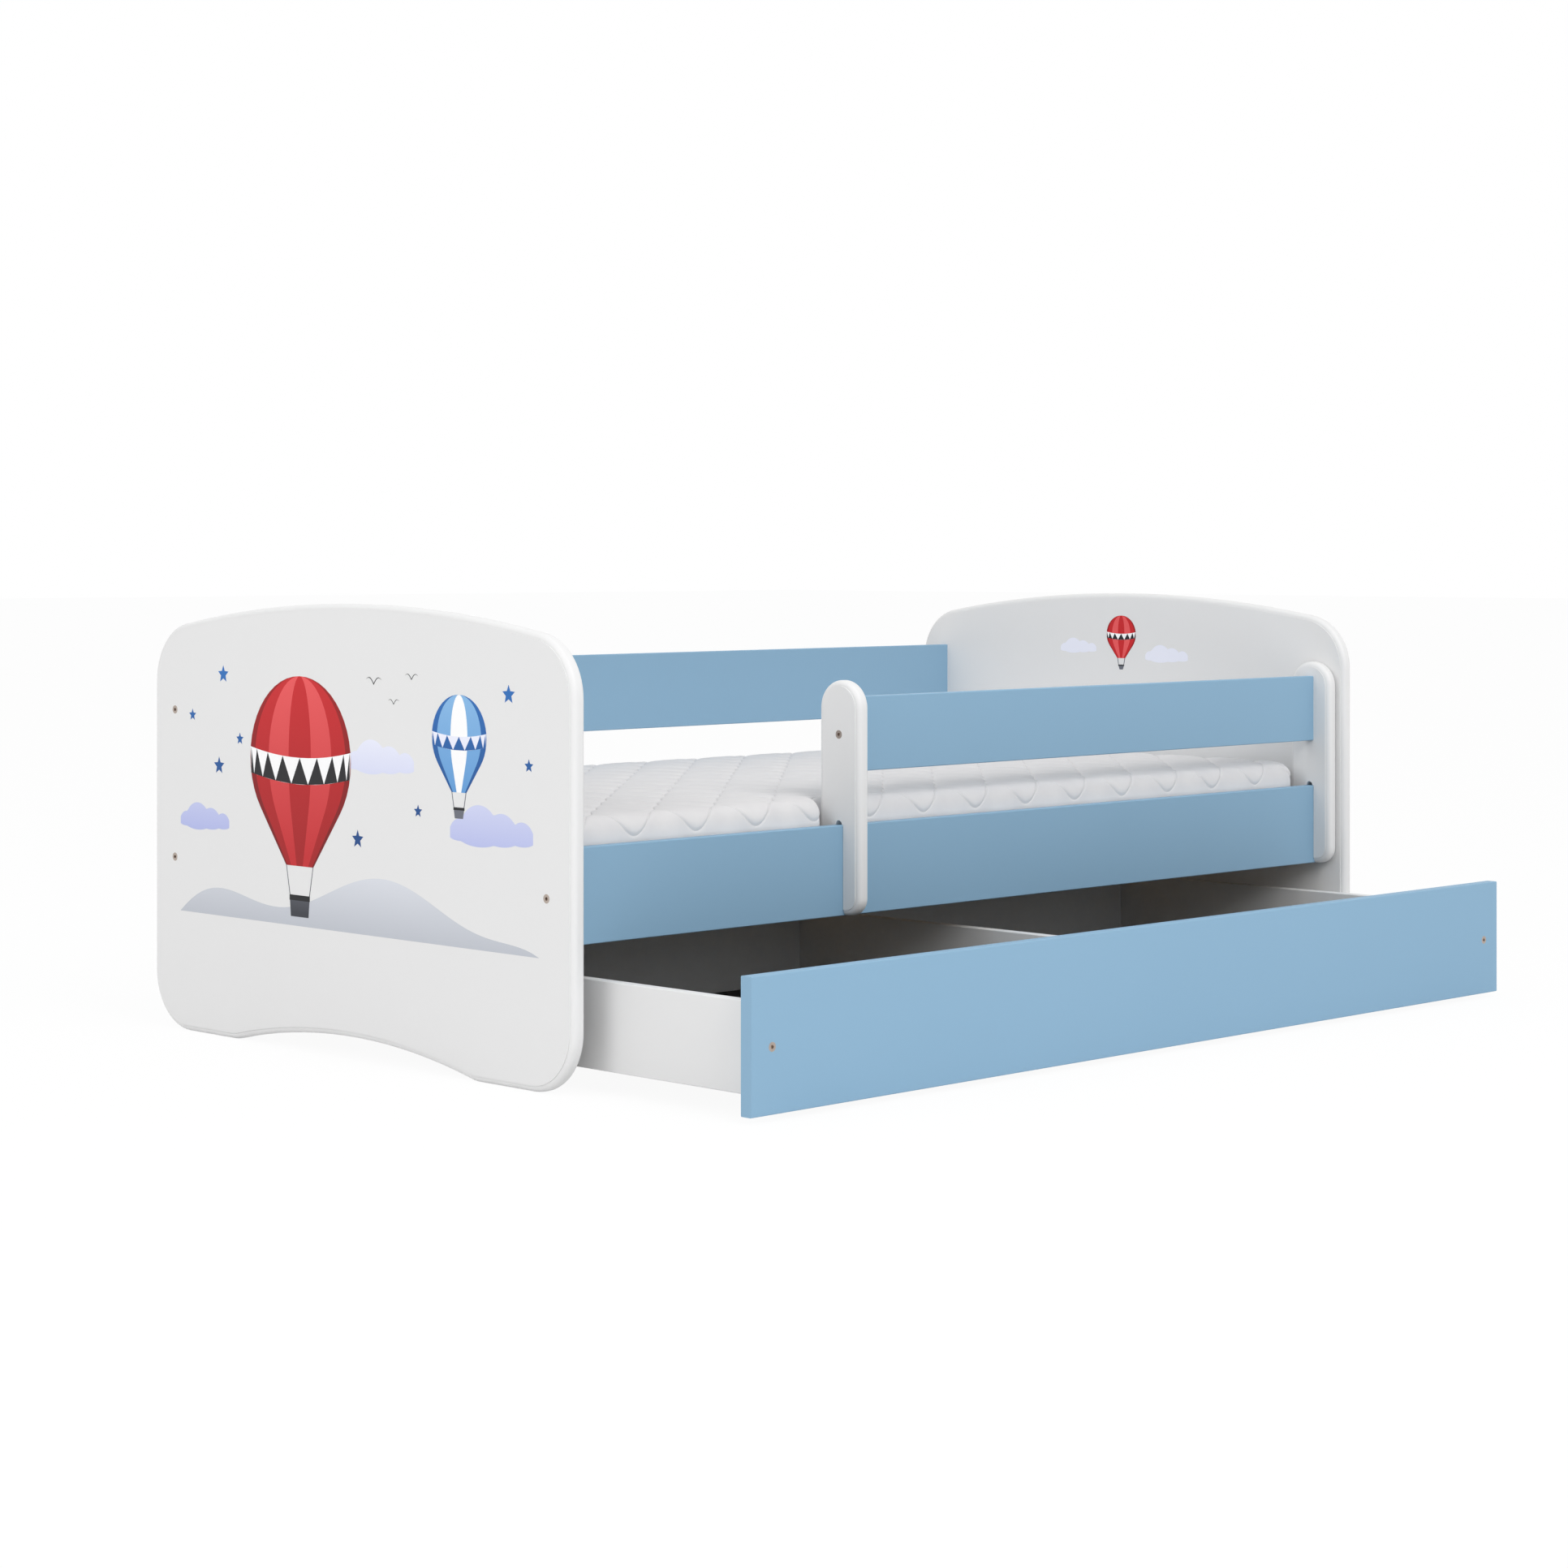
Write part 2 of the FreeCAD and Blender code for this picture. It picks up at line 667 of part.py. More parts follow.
def fasten_all(pieces):
    """Screws and dowels of the frame, the guard, the drawer and the casters."""
    rail_names = [rail[0] for rail in rails]
    guard_names = ["guard_post_foot", "guard_post_head", "guard_rail"]
    sides = ["drawer_side_left", "drawer_side_right"]
    lower = ["drawer_bottom_left", "drawer_bottom_right", "drawer_batten_left", "drawer_batten_right", "drawer_back"]
    housings = [f"caster_housing_{name}" for name, _ in caster_places()]
    guard_dowel_steps = (-guard_dowel_spread, guard_dowel_spread)
    fasten(pieces, "footboard_screws", joint_blank, frame_seats(-1), ["footboard"] + rail_names, True)
    fasten(pieces, "headboard_screws", joint_blank, frame_seats(1), ["headboard"] + rail_names, True)
    fasten(pieces, "rail_dowels", dowel, rail_dowel_seats(), ["footboard", "headboard"] + rail_names)
    fasten(pieces, "batten_screws", batten_blank, batten_seats(),
           ["front_batten", "back_batten", "front_rail", "back_rail_lower"])
    fasten(pieces, "guard_screws", joint_blank, guard_seats(0, (0,)), guard_names, True)
    guard_dowel_start = post_thickness - dowel_depth_in_board
    fasten(pieces, "guard_dowels", dowel, guard_seats(guard_dowel_start, guard_dowel_steps), guard_names)
    fasten(pieces, "drawer_front_screws", joint_blank, drawer_front_seats(), ["drawer_front"] + sides, True)
    fasten(pieces, "drawer_box_screws", joint_blank, drawer_box_seats(), sides + ["drawer_back", "drawer_divider"], True)
    fasten(pieces, "drawer_dowels", dowel, drawer_dowel_seats(), sides + ["drawer_front", "drawer_divider"])
    fasten(pieces, "caster_screws", caster_screw, caster_screw_seats(), housings + lower)


def export(pieces):
    """Write each piece, with the middle of the footprint on the floor as the origin."""
    os.makedirs("parts", exist_ok=True)
    footprint_middle = (drawer_face + board_width / 2) / 2
    for name, shape in pieces.items():
        moved = shape.translated(V(0, -footprint_middle, 0))
        solids = moved.Solids
        node = solids[0] if len(solids) == 1 else Part.Compound(solids)
        node.exportStep(f"parts/{name}.step")


def build():
    """Make every piece, fasten them together and write them."""
    pieces = {}
    for group in (frame_boards(), slatted_base(), guard(), mattress(), drawer_box(), casters()):
        pieces.update(group)
    fasten_all(pieces)
    export(pieces)


build()
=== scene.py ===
import logging
import math
from dataclasses import dataclass
from enum import Enum, IntEnum
from typing import Iterable, Sequence

import bmesh
import bpy
from mathutils import Matrix, Vector


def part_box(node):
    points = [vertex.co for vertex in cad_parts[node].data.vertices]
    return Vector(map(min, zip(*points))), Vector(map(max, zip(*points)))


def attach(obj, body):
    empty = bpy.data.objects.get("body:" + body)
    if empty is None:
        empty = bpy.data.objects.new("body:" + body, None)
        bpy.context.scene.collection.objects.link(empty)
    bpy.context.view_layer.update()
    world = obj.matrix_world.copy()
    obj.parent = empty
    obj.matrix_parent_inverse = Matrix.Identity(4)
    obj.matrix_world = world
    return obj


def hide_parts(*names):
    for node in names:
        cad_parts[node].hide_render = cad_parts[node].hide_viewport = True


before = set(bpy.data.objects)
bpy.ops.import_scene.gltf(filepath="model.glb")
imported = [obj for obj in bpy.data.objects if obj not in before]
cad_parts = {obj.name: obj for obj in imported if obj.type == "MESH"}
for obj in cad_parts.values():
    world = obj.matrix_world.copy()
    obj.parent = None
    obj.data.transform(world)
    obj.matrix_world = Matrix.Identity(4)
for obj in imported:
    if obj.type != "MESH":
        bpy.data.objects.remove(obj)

LOG = logging.getLogger("kids_bed")
MM = 0.001
# A wave texture of scale 1 runs through 20 radians in a metre.
WAVE_TURN = math.tau / 20
# A new grid runs from minus to plus this in both directions.
GRID_HALF = 0.5
PATCH_DETAIL = 4.0
Point = tuple[float, float]


class Body(Enum):
    """The rigid bodies of the frame that pieces ride on."""

    FRAME = "frame"
    GUARD = "guard"
    MATTRESS = "mattress"
    DRAWER = "drawer"


class Slot(Enum):
    """The record's material slots that new pieces take their finish from."""

    WHITE_BOARD = "white_board"
    QUILTED_FABRIC = "quilted_fabric"


class Grain(Enum):
    """The way a board's grain runs, as the turn that brings it to X."""

    ALONG = 0.0
    ACROSS = math.pi / 2


def linear(hex_colour: str) -> tuple[float, float, float, float]:
    """Turn an sRGB hex colour into linear values.

    Args:
        hex_colour: Six hex digits after a hash sign.

    Returns:
        Linear red, green, blue and an alpha of one.
    """
    channels = []
    for start in (1, 3, 5):
        value = int(hex_colour[start:start + 2], 16) / 255
        channels.append(value / 12.92 if value <= 0.04045 else ((value + 0.055) / 1.055) ** 2.4)
    return (channels[0], channels[1], channels[2], 1.0)


def per_metre(size_mm: float) -> float:
    """Texture scale at which one feature of a pattern is size_mm wide."""
    return 1 / (size_mm * MM)


def add_node(tree: bpy.types.NodeTree, kind: str, settings: dict | None = None, values: dict | None = None,
             links: dict | None = None) -> bpy.types.Node:
    """Add a node with its settings, socket values and links.

    Args:
        tree: Node tree that the node goes into.
        kind: Blender's name of the node type.
        settings: Properties of the node by name.
        values: Values of input sockets by name or index.
        links: Output sockets of other nodes by this node's input name or index.

    Returns:
        The new node.
    """
    node = tree.nodes.new(kind)
    for name, value in (settings or {}).items():
        setattr(node, name, value)
    for key, value in (values or {}).items():
        node.inputs[key].default_value = value
    for key, source in (links or {}).items():
        tree.links.new(source, node.inputs[key])
    return node


@dataclass(frozen=True)
class Finish:
    """What a surface is made of and how it was made.

    Attributes:
        name: Material name in a maker's words.
        colour: Main sRGB colour.
        roughness: Roughness of the surface as a whole.
        shine: Specular level, 0.5 for a plain lacquer and less for a matt one.
    """

    name: str
    colour: str
    roughness: float
    shine: float = 0.5

    def material(self) -> bpy.types.Material:
        """Make the material with the finish's own pattern on it.

        Returns:
            The finished material.
        """
        material = bpy.data.materials.new(self.name)
        material.use_nodes = True
        tree = material.node_tree
        shader = tree.nodes["Principled BSDF"]
        shader.inputs["Base Color"].default_value = linear(self.colour)
        shader.inputs["Roughness"].default_value = self.roughness
        shader.inputs["Specular IOR Level"].default_value = self.shine
        place = add_node(tree, "ShaderNodeTexCoord").outputs["Object"]
        self.pattern(tree, shader, place)
        return material

    def pattern(self, tree: bpy.types.NodeTree, shader: bpy.types.Node, place: bpy.types.NodeSocket) -> None:
        """Add the pattern of the finish to its shader.

        Args:
            tree: Node tree of the material.
            shader: Its Principled shader.
            place: Object coordinates.
        """
        raise NotImplementedError

    def mottle(self, tree: bpy.types.NodeTree, shader: bpy.types.Node, place: bpy.types.NodeSocket, size_mm: float,
               tint: str) -> None:
        """Vary the colour towards a tint in soft patches.

        Args:
            tree: Node tree of the material.
            shader: Its Principled shader.
            place: Coordinates of the patches.
            size_mm: Width of a patch.
            tint: sRGB colour at the middle of a patch.
        """
        patches = add_node(tree, "ShaderNodeTexNoise", values={"Scale": per_metre(size_mm), "Detail": PATCH_DETAIL},
                           links={"Vector": place})
        mix = add_node(tree, "ShaderNodeMix", {"data_type": "RGBA"}, {6: linear(self.colour), 7: linear(tint)},
                       {0: patches.outputs["Fac"]})
        tree.links.new(mix.outputs[2], shader.inputs["Base Color"])

    def relief(self, tree: bpy.types.NodeTree, shader: bpy.types.Node, height: bpy.types.NodeSocket, depth_mm: float,
               strength: float) -> None:
        """Raise the surface by a height pattern.

        Args:
            tree: Node tree of the material.
            shader: Its Principled shader.
            height: Pattern from 0 to 1.
            depth_mm: Real height of the pattern.
            strength: How much of it shows.
        """
        bump = add_node(tree, "ShaderNodeBump", values={"Strength": strength, "Distance": depth_mm * MM},
                        links={"Height": height})
        tree.links.new(bump.outputs["Normal"], shader.inputs["Normal"])


@dataclass(frozen=True)
class FoilMdf(Finish):
    """MDF wrapped in white vinyl foil by a membrane press: satin, with a faint orange peel."""

    tint: str = "#E4E4E4"
    patch_mm: float = 260.0
    peel_mm: float = 2.4
    peel_depth_mm: float = 0.05
    peel_strength: float = 0.12
    peel_detail: float = 2.0

    def pattern(self, tree: bpy.types.NodeTree, shader: bpy.types.Node, place: bpy.types.NodeSocket) -> None:
        """Soft patches of tone and the peel of the foil."""
        self.mottle(tree, shader, place, self.patch_mm, self.tint)
        peel = add_node(tree, "ShaderNodeTexNoise",
                        values={"Scale": per_metre(self.peel_mm), "Detail": self.peel_detail},
                        links={"Vector": place})
        self.relief(tree, shader, peel.outputs["Fac"], self.peel_depth_mm, self.peel_strength)


@dataclass(frozen=True)
class Melamine(Finish):
    """Chipboard faced with pressed melamine paper: matt, with a fine pearl of shallow pits.

    The real pits are about half a millimetre wide, too fine to show, so they are drawn coarser.
    """

    tint: str = "#E2E2E2"
    patch_mm: float = 180.0
    pit_mm: float = 2.0
    pit_depth_mm: float = 0.06
    pit_strength: float = 0.16

    def pattern(self, tree: bpy.types.NodeTree, shader: bpy.types.Node, place: bpy.types.NodeSocket) -> None:
        """Soft patches of tone and the pits of the press plate."""
        self.mottle(tree, shader, place, self.patch_mm, self.tint)
        pits = add_node(tree, "ShaderNodeTexVoronoi", {"feature": "SMOOTH_F1"}, {"Scale": per_metre(self.pit_mm)},
                        {"Vector": place})
        self.relief(tree, shader, pits.outputs["Distance"], self.pit_depth_mm, self.pit_strength)


@dataclass(frozen=True)
class Pine(Finish):
    """Planed softwood: pale, with long wavy growth rings and darker late wood."""

    late_wood: str = "#D0A872"
    grain: Grain = Grain.ALONG
    ring_mm: float = 9.0
    stretch_share: float = 0.06
    ring_depth_mm: float = 0.15
    ring_strength: float = 0.3
    ring_wander: float = 6.0
    ring_detail: float = 3.0
    ring_detail_scale: float = 1.5

    def pattern(self, tree: bpy.types.NodeTree, shader: bpy.types.Node, place: bpy.types.NodeSocket) -> None:
        """Growth rings stretched along the grain."""
        turned = add_node(tree, "ShaderNodeMapping", values={"Rotation": (0.0, 0.0, self.grain.value)},
                          links={"Vector": place})
        drawn = add_node(tree, "ShaderNodeMapping", values={"Scale": (self.stretch_share, 1.0, 1.0)},
                         links={"Vector": turned.outputs["Vector"]})
        rings = add_node(tree, "ShaderNodeTexWave", {"bands_direction": "Y"},
                         {"Scale": per_metre(self.ring_mm) * WAVE_TURN, "Distortion": self.ring_wander,
                          "Detail": self.ring_detail, "Detail Scale": self.ring_detail_scale},
                         {"Vector": drawn.outputs["Vector"]})
        mix = add_node(tree, "ShaderNodeMix", {"data_type": "RGBA"},
                       {6: linear(self.colour), 7: linear(self.late_wood)}, {0: rings.outputs["Fac"]})
        tree.links.new(mix.outputs[2], shader.inputs["Base Color"])
        self.relief(tree, shader, rings.outputs["Fac"], self.ring_depth_mm, self.ring_strength)


@dataclass(frozen=True)
class QuiltedKnit(Finish):
    """White double jersey over wadding: soft nap, a fine knit and faint blotches from the filling.

    A real stitch is about a millimetre wide, too fine to show, so it is drawn coarser.
    """

    tint: str = "#D3D2D4"
    blotch_mm: float = 30.0
    stitch_mm: float = 2.6
    stitch_depth_mm: float = 0.25
    stitch_strength: float = 0.18
    sheen: float = 0.06
    sheen_roughness: float = 0.5

    def pattern(self, tree: bpy.types.NodeTree, shader: bpy.types.Node, place: bpy.types.NodeSocket) -> None:
        """Blotches, the nap's sheen and the stitches of the knit."""
        self.mottle(tree, shader, place, self.blotch_mm, self.tint)
        shader.inputs["Sheen Weight"].default_value = self.sheen
        shader.inputs["Sheen Roughness"].default_value = self.sheen_roughness
        stitches = add_node(tree, "ShaderNodeTexVoronoi", {"feature": "F1"}, {"Scale": per_metre(self.stitch_mm)},
                            {"Vector": place})
        self.relief(tree, shader, stitches.outputs["Distance"], self.stitch_depth_mm, self.stitch_strength)


@dataclass(frozen=True)
class ZincSteel(Finish):
    """Steel plated with yellowish zinc: a dull metal with a cloudy plating."""

    tint: str = "#A89A90"
    cloud_mm: float = 3.0

    def pattern(self, tree: bpy.types.NodeTree, shader: bpy.types.Node, place: bpy.types.NodeSocket) -> None:
        """Clouds in the plating of a bare metal."""
        self.mottle(tree, shader, place, self.cloud_mm, self.tint)
        shader.inputs["Metallic"].default_value = 1.0


@dataclass(frozen=True)
class MouldedPlastic(Finish):
    """Injection moulded plastic: even colour with a spark-eroded grain."""

    tint: str = "#2A2A2C"
    grain_mm: float = 0.8
    grain_depth_mm: float = 0.05
    grain_strength: float = 0.2

    def pattern(self, tree: bpy.types.NodeTree, shader: bpy.types.Node, place: bpy.types.NodeSocket) -> None:
        """The tool's grain."""
        self.mottle(tree, shader, place, self.grain_mm, self.tint)
        grain = add_node(tree, "ShaderNodeTexNoise", values={"Scale": per_metre(self.grain_mm)},
                         links={"Vector": place})
        self.relief(tree, shader, grain.outputs["Fac"], self.grain_depth_mm, self.grain_strength)


@dataclass(frozen=True)
class Webbing(Finish):
    """Woven polyester tape: ribs across the tape."""

    tint: str = "#CFCBBE"
    rib_mm: float = 2.0
    rib_depth_mm: float = 0.3
    rib_strength: float = 0.4
    rib_wander: float = 0.6

    def pattern(self, tree: bpy.types.NodeTree, shader: bpy.types.Node, place: bpy.types.NodeSocket) -> None:
        """Ribs of the weave."""
        ribs = add_node(tree, "ShaderNodeTexWave", {"bands_direction": "X"},
                        {"Scale": per_metre(self.rib_mm) * WAVE_TURN, "Distortion": self.rib_wander},
                        {"Vector": place})
        mix = add_node(tree, "ShaderNodeMix", {"data_type": "RGBA"}, {6: linear(self.tint), 7: linear(self.colour)},
                       {0: ribs.outputs["Fac"]})
        tree.links.new(mix.outputs[2], shader.inputs["Base Color"])
        self.relief(tree, shader, ribs.outputs["Fac"], self.rib_depth_mm, self.rib_strength)


@dataclass(frozen=True)
class PrintedInk(Finish):
    """Ink printed under the foil's lacquer, shaded from one tone at the bottom to another at the top.

    Attributes:
        top: sRGB colour at the top of the shading.
        low_mm: Height above the floor where the shading starts.
        high_mm: Height above the floor where it ends.
    """

    top: str = "#FFFFFF"
    low_mm: float = 0.0
    high_mm: float = 600.0

    def pattern(self, tree: bpy.types.NodeTree, shader: bpy.types.Node, place: bpy.types.NodeSocket) -> None:
        """The upward shading of the ink."""
        axes = add_node(tree, "ShaderNodeSeparateXYZ", links={"Vector": place})
        rise = add_node(tree, "ShaderNodeMapRange", values={1: self.low_mm * MM, 2: self.high_mm * MM},
                        links={"Value": axes.outputs["Z"]})
        mix = add_node(tree, "ShaderNodeMix", {"data_type": "RGBA"}, {6: linear(self.colour), 7: linear(self.top)},
                       {0: rise.outputs["Result"]})
        tree.links.new(mix.outputs[2], shader.inputs["Base Color"])


WHITE_FOIL = FoilMdf("white_foil_on_mdf", "#E6E6E6", 0.42, 0.25)
WHITE_MELAMINE = Melamine("white_melamine", "#E4E4E4", 0.5, 0.2)
BLUE_MELAMINE = Melamine("blue_melamine", "#8CB0CA", 0.5, 0.2, tint="#8AAEC8")
# The drawer bottoms' dark grey is painted shade: it darkens the inside of the drawer as the shade under the bed
# would, and is not the board's own colour.
PAINTED_SHADE_HARDBOARD = Melamine("hardboard_dark_as_painted_shade", "#3C3C3C", 0.6, 0.2, tint="#363636")
SLAT_PINE = Pine("planed_pine_across", "#EAD0A6", 0.55, 0.3, grain=Grain.ACROSS)
BATTEN_PINE = Pine("planed_pine_along", "#EAD0A6", 0.55, 0.3)
BEECH = Pine("turned_beech", "#D2AC82", 0.5, late_wood="#BF9468", ring_mm=4.0)
QUILT = QuiltedKnit("quilted_jersey", "#DEDDDD", 0.85, 0.2)
ZINC = ZincSteel("zinc_plated_steel", "#C3B7AE", 0.38)
CASTER_PLASTIC = MouldedPlastic("black_polypropylene", "#1E1E20", 0.5)
WHEEL_PLASTIC = MouldedPlastic("grey_nylon", "#55565A", 0.45, tint="#4C4D51")
TAPE = Webbing("woven_tape", "#DDD9CC", 0.8)


class Ink(Enum):
    """The inks of the boards' print."""

    WINE = PrintedInk("wine_ink", "#740F13", 0.42, 0.25, "#9C171B", 270.0, 520.0)
    RED = PrintedInk("red_ink", "#A2181C", 0.42, 0.25, "#C9262B", 270.0, 520.0)
    CORAL = PrintedInk("coral_ink", "#C22A2F", 0.42, 0.25, "#E85A5C", 270.0, 520.0)
    WHITE = PrintedInk("white_ink", "#F2F2F4", 0.42, 0.25)
    BLACK = PrintedInk("black_ink", "#17171A", 0.42, 0.25, "#242428")
    SLATE = PrintedInk("slate_ink", "#3B3D44", 0.42, 0.25, "#6C6F79", 190.0, 250.0)
    NAVY = PrintedInk("navy_ink", "#1F4A86", 0.42, 0.25, "#2F6FB8", 330.0, 520.0)
    SKY = PrintedInk("sky_ink", "#4F8FCE", 0.42, 0.25, "#8DBCE6", 330.0, 520.0)
    LILAC = PrintedInk("lilac_ink", "#AEB6E6", 0.42, 0.25, "#EDEFFB", 280.0, 450.0)
    MIST = PrintedInk("mist_ink", "#BFC3CB", 0.42, 0.25, "#E0E3EA", 175.0, 275.0)


class Layer(IntEnum):
    """The films of the boards' print, from the board outwards; a later one covers an earlier one."""

    BACKDROP = 1
    MOTIF = 2
    BAND = 3
    TOOTH = 4


def cad_box(node: str) -> tuple[Vector, Vector]:
    """Lowest and highest corner of a CAD node."""
    low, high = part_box(node)
    return Vector(low), Vector(high)


def dress(nodes: Iterable[str], finish: Finish) -> None:
    """Give CAD nodes a finish.

    Args:
        nodes: Names of the nodes.
        finish: The finish that they get.
    """
    material = finish.material()
    for name in nodes:
        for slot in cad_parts[name].material_slots:
            slot.link = "OBJECT"
            slot.material = material
        LOG.info("%s dressed in %s", name, finish.name)


def new_piece(name: str, shape: bmesh.types.BMesh, materials: Sequence[bpy.types.Material]) -> bpy.types.Object:
    """Turn a bmesh into an object at the origin.

    Args:
        name: Name of the piece.
        shape: Its mesh, in the row frame, in metres.
        materials: Materials by index of the faces.

    Returns:
        The new object, linked to the scene.
    """
    bmesh.ops.recalc_face_normals(shape, faces=shape.faces)
    mesh = bpy.data.meshes.new(name)
    shape.to_mesh(mesh)
    shape.free()
    for material in materials:
        mesh.materials.append(material)
    piece = bpy.data.objects.new(name, mesh)
    bpy.context.scene.collection.objects.link(piece)
    return piece


def rounded_drop(radius: float, distance: float) -> float:
    """How far a rounded corner falls away at a distance from its edge.

    Args:
        radius: Radius of the corner.
        distance: Distance from the edge, inwards.

    Returns:
        Radius at the edge, falling to zero where the corner ends.
    """
    away = min(max(radius - distance, 0.0), radius)
    return radius - math.sqrt(radius ** 2 - away ** 2)


@dataclass
class Frame:
    """End boards, side rails, slats and their fixings."""

    boards: tuple[str, ...] = ("footboard", "headboard")
    rails: tuple[str, ...] = ("front_rail", "back_rail_lower", "back_rail_upper")
    battens: tuple[str, ...] = ("front_batten", "back_batten")
    tapes: tuple[str, ...] = ("slat_tape_front", "slat_tape_back")
    screws: tuple[str, ...] = ("footboard_screws", "headboard_screws", "batten_screws")
    slat_count: int = 13

    def build(self) -> None:
        """Dress every node of the frame."""
        dress(self.boards, WHITE_FOIL)
        dress(self.rails, BLUE_MELAMINE)
        dress(self.battens, BATTEN_PINE)
        dress([f"slat_{number:02d}" for number in range(1, self.slat_count + 1)], SLAT_PINE)
        dress(self.tapes, TAPE)
        dress(self.screws, ZINC)
        dress(["rail_dowels"], BEECH)


@dataclass
class Guard:
    """Two slotted posts and the rail between them."""

    posts: tuple[str, ...] = ("guard_post_foot", "guard_post_head")

    def build(self) -> None:
        """Dress every node of the guard."""
        dress(self.posts, WHITE_FOIL)
        dress(["guard_rail"], BLUE_MELAMINE)
        dress(["guard_screws"], ZINC)
        dress(["guard_dowels"], BEECH)


@dataclass
class Drawer:
    """Drawer box with its front, bottoms, casters and fixings."""

    walls: tuple[str, ...] = ("drawer_side_left", "drawer_side_right", "drawer_back", "drawer_divider")
    bottoms: tuple[str, ...] = ("drawer_bottom_left", "drawer_bottom_right")
    battens: tuple[str, ...] = ("drawer_batten_left", "drawer_batten_right")
    screws: tuple[str, ...] = ("drawer_front_screws", "drawer_box_screws", "caster_screws")
    casters: tuple[str, ...] = ("front_left", "front_right", "rear_left", "rear_right")

    def build(self) -> None:
        """Dress every node of the drawer."""
        dress(["drawer_front"], BLUE_MELAMINE)
        dress(self.walls, WHITE_MELAMINE)
        # The bottoms get a dark grey that is painted shade for the inside of the drawer.
        dress(self.bottoms, PAINTED_SHADE_HARDBOARD)
        dress(self.battens, BATTEN_PINE)
        dress(self.screws, ZINC)
        dress(["drawer_dowels"], BEECH)
        dress([f"caster_housing_{name}" for name in self.casters], CASTER_PLASTIC)
        dress([f"caster_wheel_{name}" for name in self.casters], WHEEL_PLASTIC)
        dress([f"caster_axle_{name}" for name in self.casters], ZINC)


@dataclass
class Mattress:
    """Foam mattress in a cover that is quilted in waves along its length.

    Each wave mirrors the next, so that the waves nearly touch and leave pillows between them. The skin is one
    sheet whose columns follow the seams. The seams, the underside and the ends are sewn fast, and the cloth
    between them is blown up by a little pressure. Sizes are in metres.
    """

    nodes: tuple[str, ...] = ("mattress_cover", "mattress_core")
    posts: tuple[str, ...] = ("guard_post_foot", "guard_post_head")
    inset: float = 0.002
    top_radius: float = 0.014
    bottom_radius: float = 0.012
    crown: float = 0.001
    seam_pitch: float = 0.0527
    middle_seam_share: float = 0.5
    seam_wave: float = 0.1115
    seam_start: float = -0.006
    seam_swing: float = 0.0235
    outer_swing_share: float = 0.5
    seam_pairs: int = 9
    pillow_shares: tuple[float, ...] = (0.0, 0.035, 0.11, 0.32, 0.68, 0.89, 0.965)
    pillow_rise: float = 0.0045
    pillow_fullness: float = 0.32
    seam_snap_share: float = 1e-6
    weld_distance: float = 1e-6
    rows_per_wave: int = 12
    sewn_end_rows: int = 3
    end_radius: float = 0.02
    end_row_shares: tuple[float, ...] = (0.0, 0.04, 0.15, 0.34, 0.62, 1.0)
    corner_radius: float = 0.03
    cap_share: float = 0.8
    bottom_columns: int = 5
    post_gaps: tuple[float, float] = (0.013, 0.022)
    dent_run: float = 0.016
    dent_row_shares: tuple[float, ...] = (0.0, 0.3, 0.55, 0.8, 1.1)
    dent_reach: float = 0.09
    pressure: float = 4.0
    sim_frames: int = 20
    sim_quality: int = 5
    swell_limit: float = 0.0012
    crease: float = 0.7
    fill: float = 0.85

    def __post_init__(self) -> None:
        """Work out the sizes that follow from the CAD mattress and the guard posts."""
        low, high = cad_box(self.nodes[0])
        self.low, self.high = low, high
        self.middle = (low.y + high.y) / 2
        self.half_width = (high.y - low.y) / 2 - self.inset
        self.seam_top = high.z - self.crown - self.pillow_rise - self.swell_limit
        self.flat = self.half_width - self.top_radius
        self.side = self.seam_top - self.top_radius - low.z - self.bottom_radius
        self.behind_post = self.middle - cad_box(self.posts[0])[1].y - self.post_gaps[0]
        self.spans = self.dents()

    def build(self) -> None:
        """Make the quilted mattress and let it stand for the CAD solids."""
        piece = new_piece("mattress_quilt", self.skin(), [QUILT.material()])
        piece.vertex_groups.new(name="sewn")
        self.blow_up(piece)
        piece.data.shade_smooth()
        smooth = piece.modifiers.new("Smooth quilting", "SUBSURF")
        smooth.levels = 1
        smooth.render_levels = 1
        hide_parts(*self.nodes)
        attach(piece, Body.MATTRESS.value)
        LOG.info("%s made", piece.name)

    def column_places(self) -> list[float]:
        """Distances round the section from its top middle, from under one side to under the other.

        Returns:
            Places of the columns, seams among them; the first and last meet under the mattress.
        """
        quilted = (self.seam_pairs - self.middle_seam_share) * self.seam_pitch
        turn = self.flat + self.top_radius * math.pi / 2 + self.side
        end = turn + self.bottom_radius * math.pi / 2
        under = self.half_width - self.bottom_radius
        border = [(quilted + turn) / 2, turn, (turn + end) / 2, end]
        border += [end + under * (number + 1) / self.bottom_columns for number in range(self.bottom_columns)]
        pillows = [(seam + self.middle_seam_share + share) * self.seam_pitch
                   for seam in range(-self.seam_pairs, self.seam_pairs - 1) for share in self.pillow_shares]
        first = len(border)
        self.seam_columns = range(first, first + len(pillows) + 1, len(self.pillow_shares))
        return [-place for place in reversed(border)] + pillows + [quilted] + border

    def row_places(self) -> list[float]:
        """Places of the rows along the mattress, closer together at the ends and beside the posts.

        Returns:
            Rising X values.
        """
        step = self.seam_wave / self.rows_per_wave
        ends = [self.end_radius * share for share in self.end_row_shares]
        first, last = self.low.x + self.end_radius, self.high.x - self.end_radius
        count = round((last - first) / step)
        rows = [first + (last - first) * number / count for number in range(1, count)]
        for start, stop in self.spans:
            near = [start - self.dent_run * share for share in reversed(self.dent_row_shares)]
            near += [stop + self.dent_run * share for share in self.dent_row_shares]
            rows = [row for row in rows if not near[0] - step / 2 < row < near[-1] + step / 2]
            rows += [(start + stop) / 2]
            rows += [row for row in near if first < row < last]
        rows += [self.low.x + end for end in ends] + [self.high.x - end for end in ends]
        return sorted(rows)

